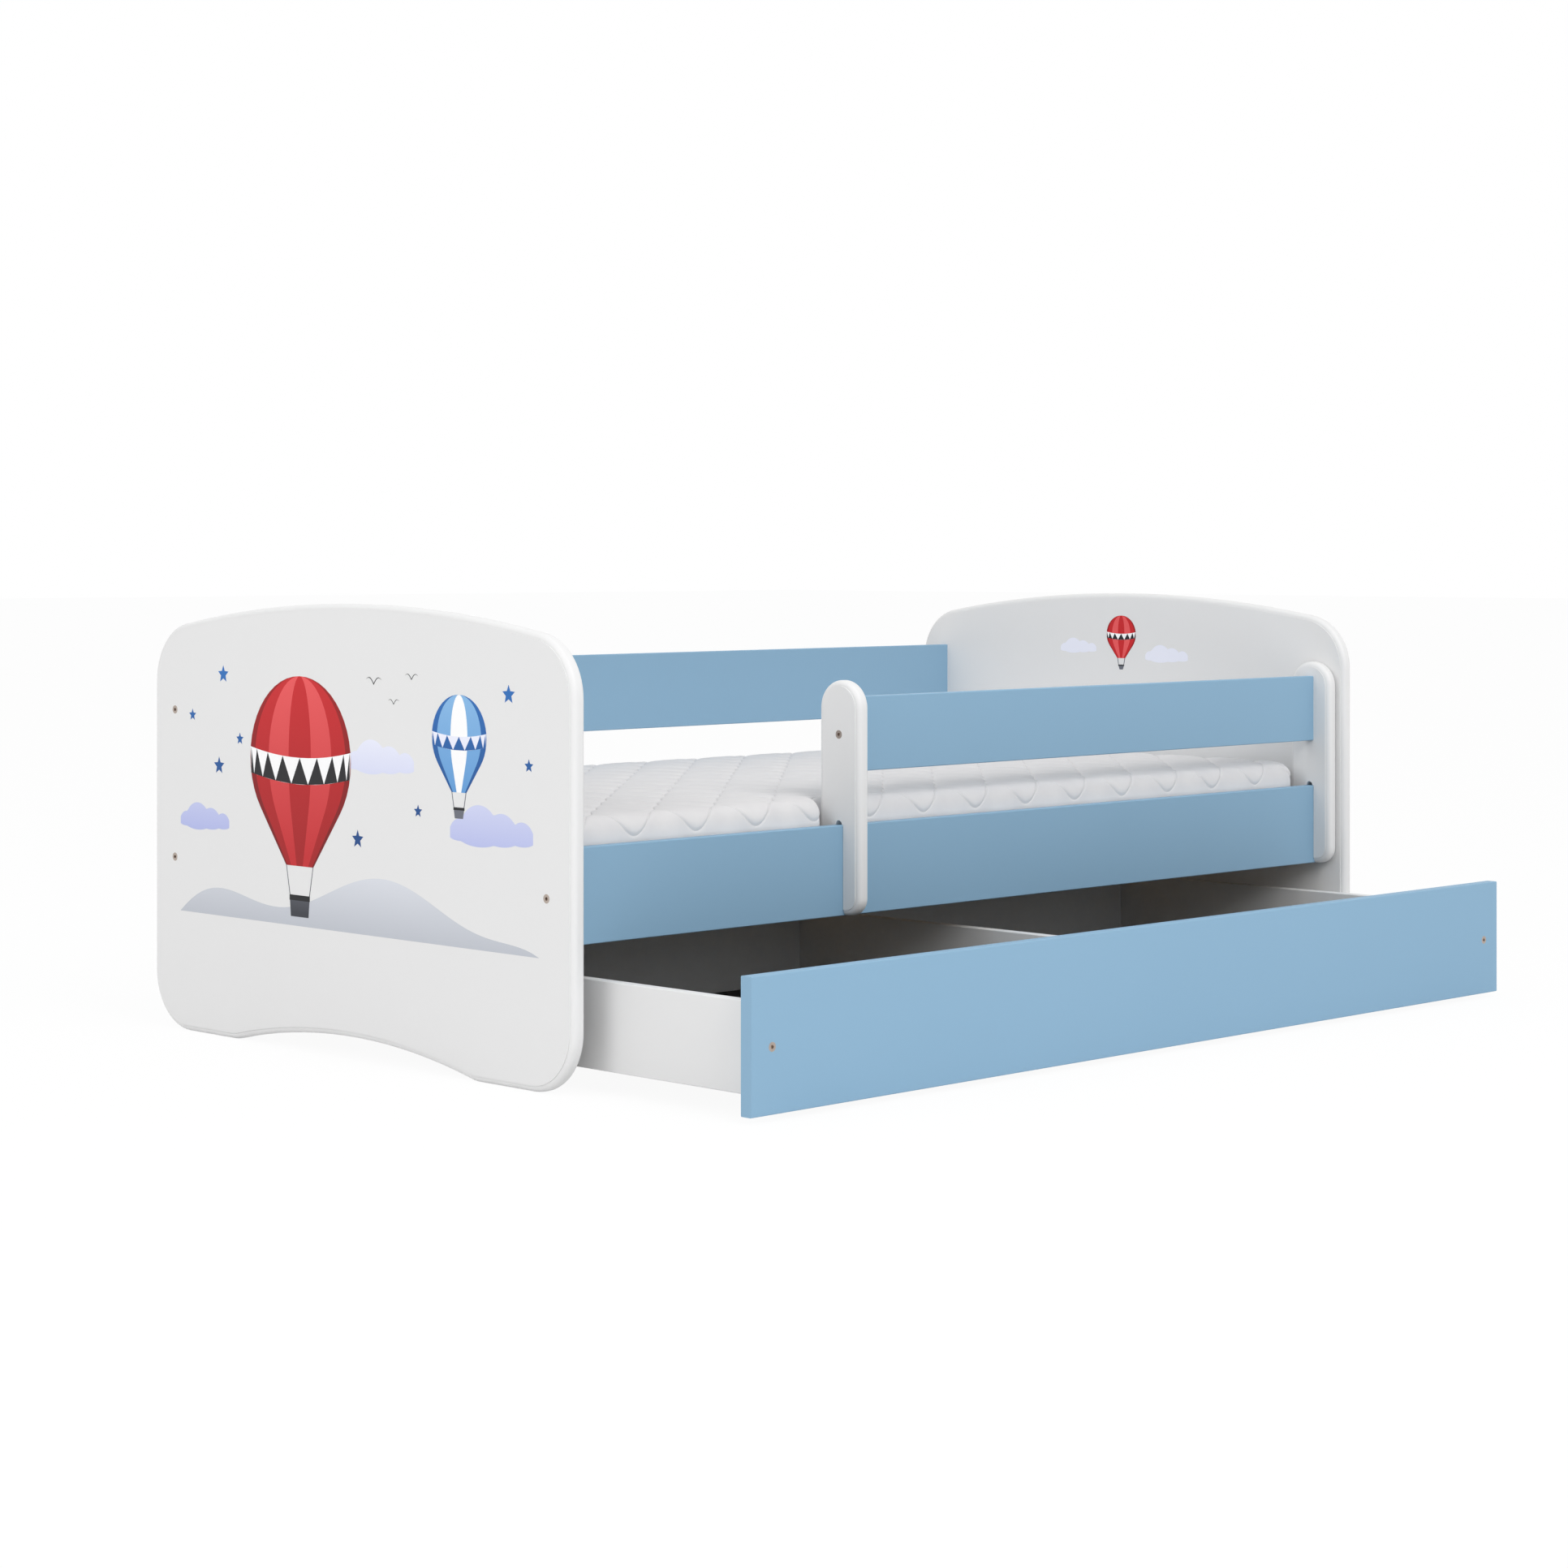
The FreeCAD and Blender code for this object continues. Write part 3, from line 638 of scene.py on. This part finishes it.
    def dents(self) -> list[tuple[float, float]]:
        """Where along the mattress the guard posts press it in, as start and stop."""
        spans = []
        for post, gap in zip(self.posts, self.post_gaps):
            low, high = cad_box(post)
            spans.append((low.x - gap, high.x + gap))
        return spans

    def front_limit(self, x: float) -> float:
        """How far the front side stands from the middle at a place along the mattress.

        Args:
            x: Place along the mattress.

        Returns:
            Distance of the front face from the mattress's middle line.
        """
        limit = self.half_width
        for start, stop in self.spans:
            away = max(start - x, x - stop, 0.0) / self.dent_run
            if away < 1.0:
                round_share = 1.0 - math.sqrt(1.0 - (1.0 - away) ** 2)
                limit = min(limit, self.half_width - (self.half_width - self.behind_post) * round_share)
        return limit

    def section_point(self, place: float) -> tuple[Vector, Vector]:
        """Point and outward direction on the section at a distance from its top middle.

        Args:
            place: Distance round the section, positive to the back.

        Returns:
            Point as across and height, and its outward direction.
        """
        away = abs(place)
        sign = 1.0 if place >= 0 else -1.0
        turn = self.top_radius * math.pi / 2
        foot = self.bottom_radius * math.pi / 2
        if away <= self.flat:
            rise = self.crown * (1.0 - (away / self.flat) ** 2)
            return Vector((place, self.seam_top + rise)), Vector((0.0, 1.0))
        away -= self.flat
        if away <= turn:
            angle = away / self.top_radius
            out = Vector((sign * math.sin(angle), math.cos(angle)))
            return Vector((sign * self.flat, self.seam_top - self.top_radius)) + out * self.top_radius, out
        away -= turn
        if away <= self.side:
            return (Vector((sign * self.half_width, self.seam_top - self.top_radius - away)),
                    Vector((sign, 0.0)))
        away -= self.side
        if away <= foot:
            angle = away / self.bottom_radius
            out = Vector((sign * math.cos(angle), -math.sin(angle)))
            centre = Vector((sign * (self.half_width - self.bottom_radius), self.low.z + self.bottom_radius))
            return centre + out * self.bottom_radius, out
        away -= foot
        return Vector((sign * (self.half_width - self.bottom_radius - away), self.low.z)), Vector((0.0, -1.0))

    def seam_shift(self, seam: int, x: float) -> float:
        """How far a seam swings away from its middle line at a place along the mattress.

        Args:
            seam: Number of the seam, from the front; each one mirrors the last.
            x: Place along the mattress.

        Returns:
            Distance round the section, positive to the back.
        """
        swing = -self.seam_swing if seam % 2 else self.seam_swing
        if seam in (0, 2 * self.seam_pairs - 1):
            swing *= self.outer_swing_share
        return swing * math.cos(2 * math.pi * (x - self.seam_start) / self.seam_wave)

    def skin_point(self, x: float, place: float) -> Vector:
        """Where a row and a column of the skin meet.

        Args:
            x: Place of the row along the mattress.
            place: The column's distance round the section.

        Returns:
            Point in the row frame.
        """
        seams = place / self.seam_pitch + self.seam_pairs - self.middle_seam_share
        last = 2 * self.seam_pairs - 1
        rise = 0.0
        if -self.seam_snap_share < seams < last + self.seam_snap_share:
            seam = min(max(math.floor(seams), 0), last - 1)
            share = min(max(seams - seam, 0.0), 1.0)
            near, far = self.seam_shift(seam, x), self.seam_shift(seam + 1, x)
            place += near + (far - near) * share
            width_share = (self.seam_pitch + far - near) / (self.seam_pitch + 2 * self.seam_swing)
            rise = self.pillow_rise * math.sqrt(width_share) * (4 * share * (1.0 - share)) ** self.pillow_fullness
        point, out = self.section_point(place)
        end = min(x - self.low.x, self.high.x - x)
        across, height = point + out * rise * min(end / self.end_radius, 1.0)
        across *= 1.0 - rounded_drop(self.corner_radius, end) / self.half_width
        half_height = (self.seam_top - self.low.z) / 2
        level = self.low.z + half_height
        height = level + (height - level) * (1.0 - rounded_drop(self.end_radius, end) / half_height)
        inner = self.half_width - self.dent_reach
        if -across > inner:
            squeeze = (self.front_limit(x) - inner) / self.dent_reach
            across = -inner + (across + inner) * squeeze
        return Vector((x, self.middle + across, height))

    def skin(self) -> bmesh.types.BMesh:
        """Lay out the skin, weld it into a tube and close its ends.

        Returns:
            Closed mesh with its sewn vertices in deform group 0 and its seams creased.
        """
        rows, columns = self.row_places(), self.column_places()
        shape = bmesh.new()
        last_row, last_column = len(rows) - 1, len(columns) - 1
        bmesh.ops.create_grid(shape, x_segments=last_row, y_segments=last_column, size=GRID_HALF)
        weights = shape.verts.layers.deform.verify()
        creases = shape.edges.layers.float.new("crease_edge")
        seam_of = {}
        for vert in shape.verts:
            row = round((vert.co.x + GRID_HALF) * last_row)
            column = round((vert.co.y + GRID_HALF) * last_column)
            vert.co = self.skin_point(rows[row], columns[column])
            ends = row < self.sewn_end_rows or row > last_row - self.sewn_end_rows
            if column in self.seam_columns:
                seam_of[vert] = column
            if ends or column in self.seam_columns or not self.seam_columns[0] < column < self.seam_columns[-1]:
                vert[weights][0] = 1.0
        for edge in shape.edges:
            seams = [seam_of.get(vert) for vert in edge.verts]
            if seams[0] is not None and seams[0] == seams[1]:
                edge[creases] = self.crease
        bmesh.ops.remove_doubles(shape, verts=shape.verts, dist=self.weld_distance)
        for end in (self.low.x, self.high.x):
            rim = [edge for edge in shape.edges if edge.is_boundary and abs(edge.verts[0].co.x - end) < self.inset]
            ring = bmesh.ops.extrude_edge_only(shape, edges=rim)["geom"]
            inner = {part for part in ring if isinstance(part, bmesh.types.BMVert)}
            centre = Vector((end, self.middle, (self.low.z + self.seam_top) / 2))
            bmesh.ops.scale(shape, vec=(1.0, self.cap_share, self.cap_share), space=Matrix.Translation(-centre),
                            verts=list(inner))
            loop = [part for part in ring if isinstance(part, bmesh.types.BMEdge) and inner.issuperset(part.verts)]
            bmesh.ops.edgeloop_fill(shape, edges=loop)
        for vert in shape.verts:
            if abs(abs(vert.co.x) - self.high.x) < self.inset:
                vert[weights][0] = 1.0
        return shape

    def blow_up(self, piece: bpy.types.Object) -> None:
        """Blow the quilting up between its seams and keep the result in the mesh.

        Args:
            piece: The mattress, with its sewn vertices in the group named sewn.
        """
        scene = bpy.context.scene
        cloth = piece.modifiers.new("Blow up", "CLOTH")
        cloth.settings.vertex_group_mass = "sewn"
        cloth.settings.use_pressure = True
        cloth.settings.uniform_pressure_force = self.pressure
        cloth.settings.quality = self.sim_quality
        cloth.settings.effector_weights.gravity = 0.0
        cloth.point_cache.frame_start = 1
        cloth.point_cache.frame_end = self.sim_frames
        for number in range(1, self.sim_frames + 1):
            scene.frame_set(number)
        blown = piece.evaluated_get(bpy.context.evaluated_depsgraph_get()).to_mesh()
        moves = [after.co - before.co for before, after in zip(piece.data.vertices, blown.vertices)]
        piece.to_mesh_clear()
        piece.modifiers.remove(cloth)
        scene.frame_set(1)
        for vert, move in zip(piece.data.vertices, moves):
            if move.length > self.swell_limit:
                move *= self.swell_limit / move.length
            vert.co += move
        LOG.info("quilting blown up by at most %.1f mm", max(move.length for move in moves) / MM)


@dataclass
class PrintSheet:
    """A board's face that motifs are laid on as thin films of ink.

    Points on it are in millimetres: across to the right as seen from the foot end, and up from the floor.
    """

    board: str
    film_mm: float = 0.08
    sunk_mm: float = 0.05

    def __post_init__(self) -> None:
        """Find the board's face and start an empty print."""
        low, high = cad_box(self.board)
        self.face = low.x
        self.middle = (low.y + high.y) / 2
        self.shape = bmesh.new()

    def lay(self, outline: Iterable[Point], ink: Ink, layer: Layer = Layer.BACKDROP) -> None:
        """Lay one film of ink on the face.

        Args:
            outline: Its outline.
            ink: The ink.
            layer: Which film from the board it is.
        """
        depth = self.face + self.sunk_mm * MM
        verts = [self.shape.verts.new((depth, self.middle - across * MM, up * MM)) for across, up in outline]
        film = self.shape.faces.new(verts)
        raised = bmesh.ops.extrude_face_region(self.shape, geom=[film], use_keep_orig=True)["geom"]
        top = [part for part in raised if isinstance(part, bmesh.types.BMVert)]
        lift = Vector((-(self.sunk_mm + self.film_mm * layer) * MM, 0.0, 0.0))
        bmesh.ops.translate(self.shape, verts=top, vec=lift)
        for face in {face for vert in top + verts for face in vert.link_faces}:
            face.material_index = list(Ink).index(ink)

    def piece(self, name: str) -> None:
        """Finish the print as one piece on its board.

        Args:
            name: Name of the piece.
        """
        piece = new_piece(name, self.shape, [ink.value.material() for ink in Ink])
        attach(piece, Body.FRAME.value)


def spread(count: int, first: float, last: float) -> list[float]:
    """Even steps from a first to a last value, both included."""
    return [first + (last - first) * number / (count - 1) for number in range(count)]


@dataclass(frozen=True)
class Balloon:
    """A hot-air balloon with upright gores, a zigzag band, ropes and a basket. Sizes are in millimetres."""

    across: float
    up: float
    radius: float
    inks: tuple[Ink, ...]
    band_ink: Ink
    tooth_ink: Ink
    shoulder: float = math.radians(-38.0)
    mouth_share: float = 0.27
    depth_share: float = 1.28
    band_shares: tuple[float, float] = (-0.2, 0.12)
    sag_share: float = 0.1
    teeth: int = 9
    rope_share: float = 0.35
    rope_width: float = 1.4
    basket_shares: tuple[float, float] = (0.2, 0.26)
    trim_share: float = 0.25
    outline_steps: int = 18

    def half_width(self, rise: float) -> float:
        """Half the balloon's width at a height above its middle."""
        join = self.radius * math.sin(self.shoulder)
        if rise >= join:
            return math.sqrt(max(self.radius ** 2 - rise ** 2, 0.0))
        share = (join - rise) / (join + self.radius * self.depth_share)
        return self.radius * (math.cos(self.shoulder) * (1.0 - share) + self.mouth_share * share)

    def point(self, share: float, rise: float) -> Point:
        """Point at a share of the half width and a height above the middle."""
        return self.across + share * self.half_width(rise), self.up + rise

    def latitude(self, share: float, height_share: float) -> Point:
        """Point on a level line of the balloon, which sags in the middle."""
        rise = self.radius * (height_share - self.sag_share * (1.0 - share ** 2))
        return self.point(share, rise)

    def draw(self, sheet: PrintSheet) -> None:
        """Lay the balloon on a sheet, from its gores to its basket."""
        rises = [-self.radius * self.depth_share]
        rises += [self.radius * math.sin(turn) for turn in spread(self.outline_steps, self.shoulder, math.pi / 2)]
        edges = [math.sin(turn) for turn in spread(len(self.inks) + 1, -math.pi / 2, math.pi / 2)]
        for ink, left, right in zip(self.inks, edges, edges[1:]):
            sheet.lay([self.point(right, rise) for rise in rises] +
                      [self.point(left, rise) for rise in reversed(rises[:-1])], ink, Layer.MOTIF)
        self.draw_band(sheet)
        self.draw_basket(sheet)

    def draw_band(self, sheet: PrintSheet) -> None:
        """Lay the zigzag band round the balloon."""
        low, high = self.band_shares
        shares = [math.sin(turn) for turn in spread(2 * self.teeth + 1, -math.pi / 2, math.pi / 2)]
        sheet.lay([self.latitude(share, low) for share in shares] +
                  [self.latitude(share, high) for share in reversed(shares)], self.band_ink, Layer.BAND)
        for left, tip, right in zip(shares[::2], shares[1::2], shares[2::2]):
            sheet.lay([self.latitude(left, low), self.latitude(right, low), self.latitude(tip, high)],
                      self.tooth_ink, Layer.TOOTH)

    def draw_basket(self, sheet: PrintSheet) -> None:
        """Lay the basket and the ropes that it hangs on."""
        mouth = self.up - self.radius * self.depth_share
        rim = mouth - self.radius * self.rope_share
        half, height = (self.radius * share for share in self.basket_shares)
        for side in (-1, 1):
            top, foot = self.across + side * self.radius * self.mouth_share, self.across + side * half
            sheet.lay([(top, mouth), (top - side * self.rope_width, mouth), (foot - side * self.rope_width, rim),
                       (foot, rim)], Ink.SLATE, Layer.MOTIF)
        floor_half = half - 2 * self.rope_width
        trim = rim - height * self.trim_share
        sheet.lay([(self.across - half, rim), (self.across + half, rim), (self.across + floor_half, rim - height),
                   (self.across - floor_half, rim - height)], Ink.SLATE, Layer.MOTIF)
        sheet.lay([(self.across - half, rim), (self.across + half, rim), (self.across + half, trim),
                   (self.across - half, trim)], Ink.BLACK, Layer.BAND)


@dataclass(frozen=True)
class Cloud:
    """A cloud of puffs on a level base. Sizes are in millimetres."""

    across: float
    up: float
    width: float
    puff_shares: tuple[Point, ...] = ((-0.36, 0.13), (-0.14, 0.24), (0.12, 0.19), (0.35, 0.14))
    squat_share: float = 0.3
    outline_steps: int = 41

    def top(self, share: float) -> float:
        """Height of the puffs above the base at a share of the width from the middle."""
        rises = [radius ** 2 - (share - middle) ** 2 for middle, radius in self.puff_shares]
        return self.width * math.sqrt(max(max(rises), 0.0))

    def draw(self, sheet: PrintSheet) -> None:
        """Lay the cloud on a sheet."""
        shares = spread(self.outline_steps, -0.5, 0.5)[1:-1]
        base = [(self.across + self.width * share, self.up - self.squat_share * self.top(share))
                for share in shares]
        puffs = [(self.across + self.width * share, self.up + self.top(share)) for share in reversed(shares)]
        sheet.lay(base + puffs, Ink.LILAC)


@dataclass(frozen=True)
class Bird:
    """A bird far off, drawn as two curved wings. Sizes are in millimetres."""

    across: float
    up: float
    span: float
    arch_share: float = 0.16
    lift_share: float = 0.14
    body_share: float = 0.07
    outline_steps: int = 17

    def draw(self, sheet: PrintSheet) -> None:
        """Lay the bird on a sheet."""
        shares = spread(self.outline_steps, -1.0, 1.0)
        spine = [(self.across + self.span / 2 * share,
                  self.up + self.span * (self.arch_share * math.sin(math.pi * abs(share)) +
                                         self.lift_share * abs(share))) for share in shares]
        under = [(across, up - self.span * self.body_share * (1.0 - abs(share)))
                 for (across, up), share in zip(spine, shares)]
        sheet.lay(under[1:-1] + spine[::-1], Ink.BLACK, Layer.MOTIF)


@dataclass(frozen=True)
class Star:
    """A five-pointed star. Sizes are in millimetres."""

    across: float
    up: float
    radius: float
    waist_share: float = 0.45
    points: int = 5

    def draw(self, sheet: PrintSheet) -> None:
        """Lay the star on a sheet."""
        outline = []
        for number in range(2 * self.points):
            reach = self.radius * (self.waist_share if number % 2 else 1.0)
            turn = math.pi * (0.5 + number / self.points)
            outline.append((self.across + reach * math.cos(turn), self.up + reach * math.sin(turn)))
        sheet.lay(outline, Ink.NAVY)


@dataclass(frozen=True)
class Hills:
    """Rolling hills along the foot of the print. Sizes are in millimetres."""

    half_width: float
    base: float
    height: float
    rolls: float
    start: float
    level_share: float = 0.65
    fade_power: int = 4
    outline_steps: int = 61

    def draw(self, sheet: PrintSheet) -> None:
        """Lay the hills on a sheet, fading to points at both ends."""
        shares = spread(self.outline_steps, -1.0, 1.0)
        ridge = []
        for share in shares[1:-1]:
            fade = 1.0 - share ** self.fade_power
            swell = (1.0 - self.level_share) * math.sin(math.pi * self.rolls * share + self.start)
            ridge.append((self.half_width * share, self.base + self.height * fade * (self.level_share + swell)))
        ends = [(self.half_width * share, self.base) for share in (-1.0, 1.0)]
        sheet.lay(ends + ridge[::-1], Ink.MIST)


RED_GORES = (Ink.WINE, Ink.RED, Ink.CORAL, Ink.RED, Ink.CORAL, Ink.RED, Ink.WINE)
BLUE_GORES = (Ink.NAVY, Ink.SKY, Ink.WHITE, Ink.SKY, Ink.NAVY)


@dataclass
class BoardPrints:
    """Prints on the footboard's outside and the headboard's inside, of balloons over hills.

    Sizes and places are in millimetres.
    """

    hills: Hills = Hills(half_width=395.0, base=172.0, height=78.0, rolls=1.7, start=0.6)
    foot_clouds: tuple[Cloud, ...] = (Cloud(70.0, 400.0, 150.0), Cloud(-335.0, 300.0, 125.0),
                                      Cloud(300.0, 318.0, 175.0))
    star_places: tuple[Point, ...] = ((-365.0, 455.0), (-290.0, 515.0), (-250.0, 425.0), (-300.0, 385.0),
                                      (150.0, 345.0), (335.0, 505.0), (375.0, 415.0), (20.0, 300.0))
    star_radii: tuple[float, float] = (9.0, 13.0)
    birds: tuple[Bird, ...] = (Bird(55.0, 512.0, 34.0), Bird(98.0, 486.0, 24.0), Bird(136.0, 520.0, 28.0))
    big_balloon: Balloon = Balloon(-110.0, 402.0, 115.0, RED_GORES, Ink.WHITE, Ink.BLACK)
    small_balloon: Balloon = Balloon(235.0, 446.0, 56.0, BLUE_GORES, Ink.LILAC, Ink.NAVY, teeth=7)
    head_clouds: tuple[Cloud, ...] = (Cloud(-95.0, 520.0, 84.0), Cloud(98.0, 508.0, 96.0))
    head_balloon: Balloon = Balloon(0.0, 548.0, 32.0, RED_GORES, Ink.WHITE, Ink.BLACK, teeth=7)

    def build(self) -> None:
        """Draw both prints."""
        stars = [Star(*place, self.star_radii[number % 2]) for number, place in enumerate(self.star_places)]
        foot = [self.hills, *self.foot_clouds, *stars, *self.birds, self.big_balloon, self.small_balloon]
        head = [*self.head_clouds, self.head_balloon]
        for name, motifs in (("footboard", foot), ("headboard", head)):
            sheet = PrintSheet(name)
            for motif in motifs:
                motif.draw(sheet)
            sheet.piece(f"{name}_print")
            LOG.info("%s print laid in %d motifs", name, len(motifs))


@dataclass
class Studio:
    """Pale floor, soft light and the camera at the photograph's angle."""

    camera_place: tuple[float, float, float] = (-3.55565, -3.40862, 0.68662)
    camera_yaw: float = -45.0
    lens_mm: float = 75.09
    sensor_mm: float = 36.0
    view_reach: float = 100.0
    shift_y: float = -0.14715
    sky_strength: float = 0.79
    horizon_strength: float = 0.0
    horizon_height: float = 0.3
    front_lamp_place: tuple[float, float, float] = (-1.0, -4.7, 3.9)
    front_lamp_power: float = 138.0
    foot_lamp_place: tuple[float, float, float] = (-5.4, 0.4, 3.0)
    foot_lamp_power: float = 70.0
    lamp_size: float = 3.0
    floor_size: float = 40.0
    floor_glow_share: float = 0.94
    floor_colour: str = "#F6F6F6"
    floor_bounce_colour: str = "#ECECEC"

    def build(self) -> None:
        """Make the floor, the light and the camera."""
        self.floor()
        self.sky()
        self.lamp("front_lamp", self.front_lamp_place, self.front_lamp_power)
        self.lamp("foot_lamp", self.foot_lamp_place, self.foot_lamp_power)
        self.camera()

    def seen_directly(self, tree: bpy.types.NodeTree) -> bpy.types.NodeSocket:
        """Factor that is one for rays that show the background itself.

        Args:
            tree: Node tree of the floor or the world.

        Returns:
            Output socket of the factor.
        """
        path = add_node(tree, "ShaderNodeLightPath")
        first = add_node(tree, "ShaderNodeMath", {"operation": "MAXIMUM"}, None,
                         {0: path.outputs["Is Camera Ray"], 1: path.outputs["Is Glossy Ray"]})
        both = add_node(tree, "ShaderNodeMath", {"operation": "MAXIMUM"}, None,
                        {0: first.outputs[0], 1: path.outputs["Is Transmission Ray"]})
        return both.outputs[0]

    def floor(self) -> None:
        """A wide pale floor that reads as white and keeps a soft shadow."""
        shape = bmesh.new()
        bmesh.ops.create_grid(shape, x_segments=1, y_segments=1, size=self.floor_size)
        material = bpy.data.materials.new("studio_floor")
        material.use_nodes = True
        tree = material.node_tree
        tree.nodes.remove(tree.nodes["Principled BSDF"])
        seen = self.seen_directly(tree)
        colour = add_node(tree, "ShaderNodeMix", {"data_type": "RGBA"},
                          {6: linear(self.floor_bounce_colour), 7: linear(self.floor_colour)}, {0: seen})
        matt = add_node(tree, "ShaderNodeBsdfDiffuse", links={"Color": colour.outputs[2]})
        glow = add_node(tree, "ShaderNodeEmission", values={"Strength": 1.0})
        share = add_node(tree, "ShaderNodeMath", {"operation": "MULTIPLY"}, {1: self.floor_glow_share}, {0: seen})
        mix = add_node(tree, "ShaderNodeMixShader",
                       links={0: share.outputs[0], 1: matt.outputs[0], 2: glow.outputs[0]})
        tree.links.new(mix.outputs[0], tree.nodes["Material Output"].inputs["Surface"])
        new_piece("studio_floor", shape, [material])

    def sky(self) -> None:
        """White light from all round, dimmer near the horizon, and white where the camera sees it."""
        world = bpy.data.worlds.new("studio_sky")
        bpy.context.scene.world = world
        world.use_nodes = True
        tree = world.node_tree
        background = tree.nodes["Background"]
        background.inputs["Color"].default_value = linear("#FFFFFF")
        way = add_node(tree, "ShaderNodeTexCoord").outputs["Generated"]
        height = add_node(tree, "ShaderNodeSeparateXYZ", links={"Vector": way}).outputs["Z"]
        light = add_node(tree, "ShaderNodeMapRange", {"interpolation_type": "SMOOTHSTEP"},
                         {2: self.horizon_height, 3: self.horizon_strength, 4: self.sky_strength},
                         {"Value": height})
        strength = add_node(tree, "ShaderNodeMapRange", values={4: 1.0},
                            links={"Value": self.seen_directly(tree), 3: light.outputs["Result"]})
        tree.links.new(strength.outputs["Result"], background.inputs["Strength"])

    def lamp(self, name: str, place: Sequence[float], power: float) -> None:
        """A large soft lamp that looks at the origin.

        Args:
            name: Name of the lamp.
            place: Where it stands, in metres.
            power: Its power in watts.
        """
        light = bpy.data.lights.new(name, "AREA")
        light.shape = "SQUARE"
        light.size = self.lamp_size
        light.energy = power
        lamp = bpy.data.objects.new(name, light)
        lamp.location = place
        lamp.rotation_euler = (-Vector(place)).to_track_quat("-Z", "Y").to_euler()
        bpy.context.scene.collection.objects.link(lamp)

    def camera(self) -> None:
        """Level camera at the foot end's front corner."""
        data = bpy.data.cameras.new("photo_camera")
        data.sensor_width = self.sensor_mm
        data.lens = self.lens_mm
        data.shift_y = self.shift_y
        data.clip_end = self.view_reach
        camera = bpy.data.objects.new("photo_camera", data)
        camera.location = self.camera_place
        camera.rotation_euler = (math.pi / 2, 0.0, math.radians(self.camera_yaw))
        bpy.context.scene.collection.objects.link(camera)
        bpy.context.scene.camera = camera


def main() -> None:
    """Build each sub-assembly in order and report it."""
    logging.basicConfig(level=logging.INFO, format="%(message)s")
    bpy.context.scene.view_settings.view_transform = "Standard"
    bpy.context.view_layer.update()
    for assembly in (Studio(), Frame(), BoardPrints(), Guard(), Mattress(), Drawer()):
        assembly.build()
        LOG.info("%s built", type(assembly).__name__)


if __name__ == "__main__":
    main()
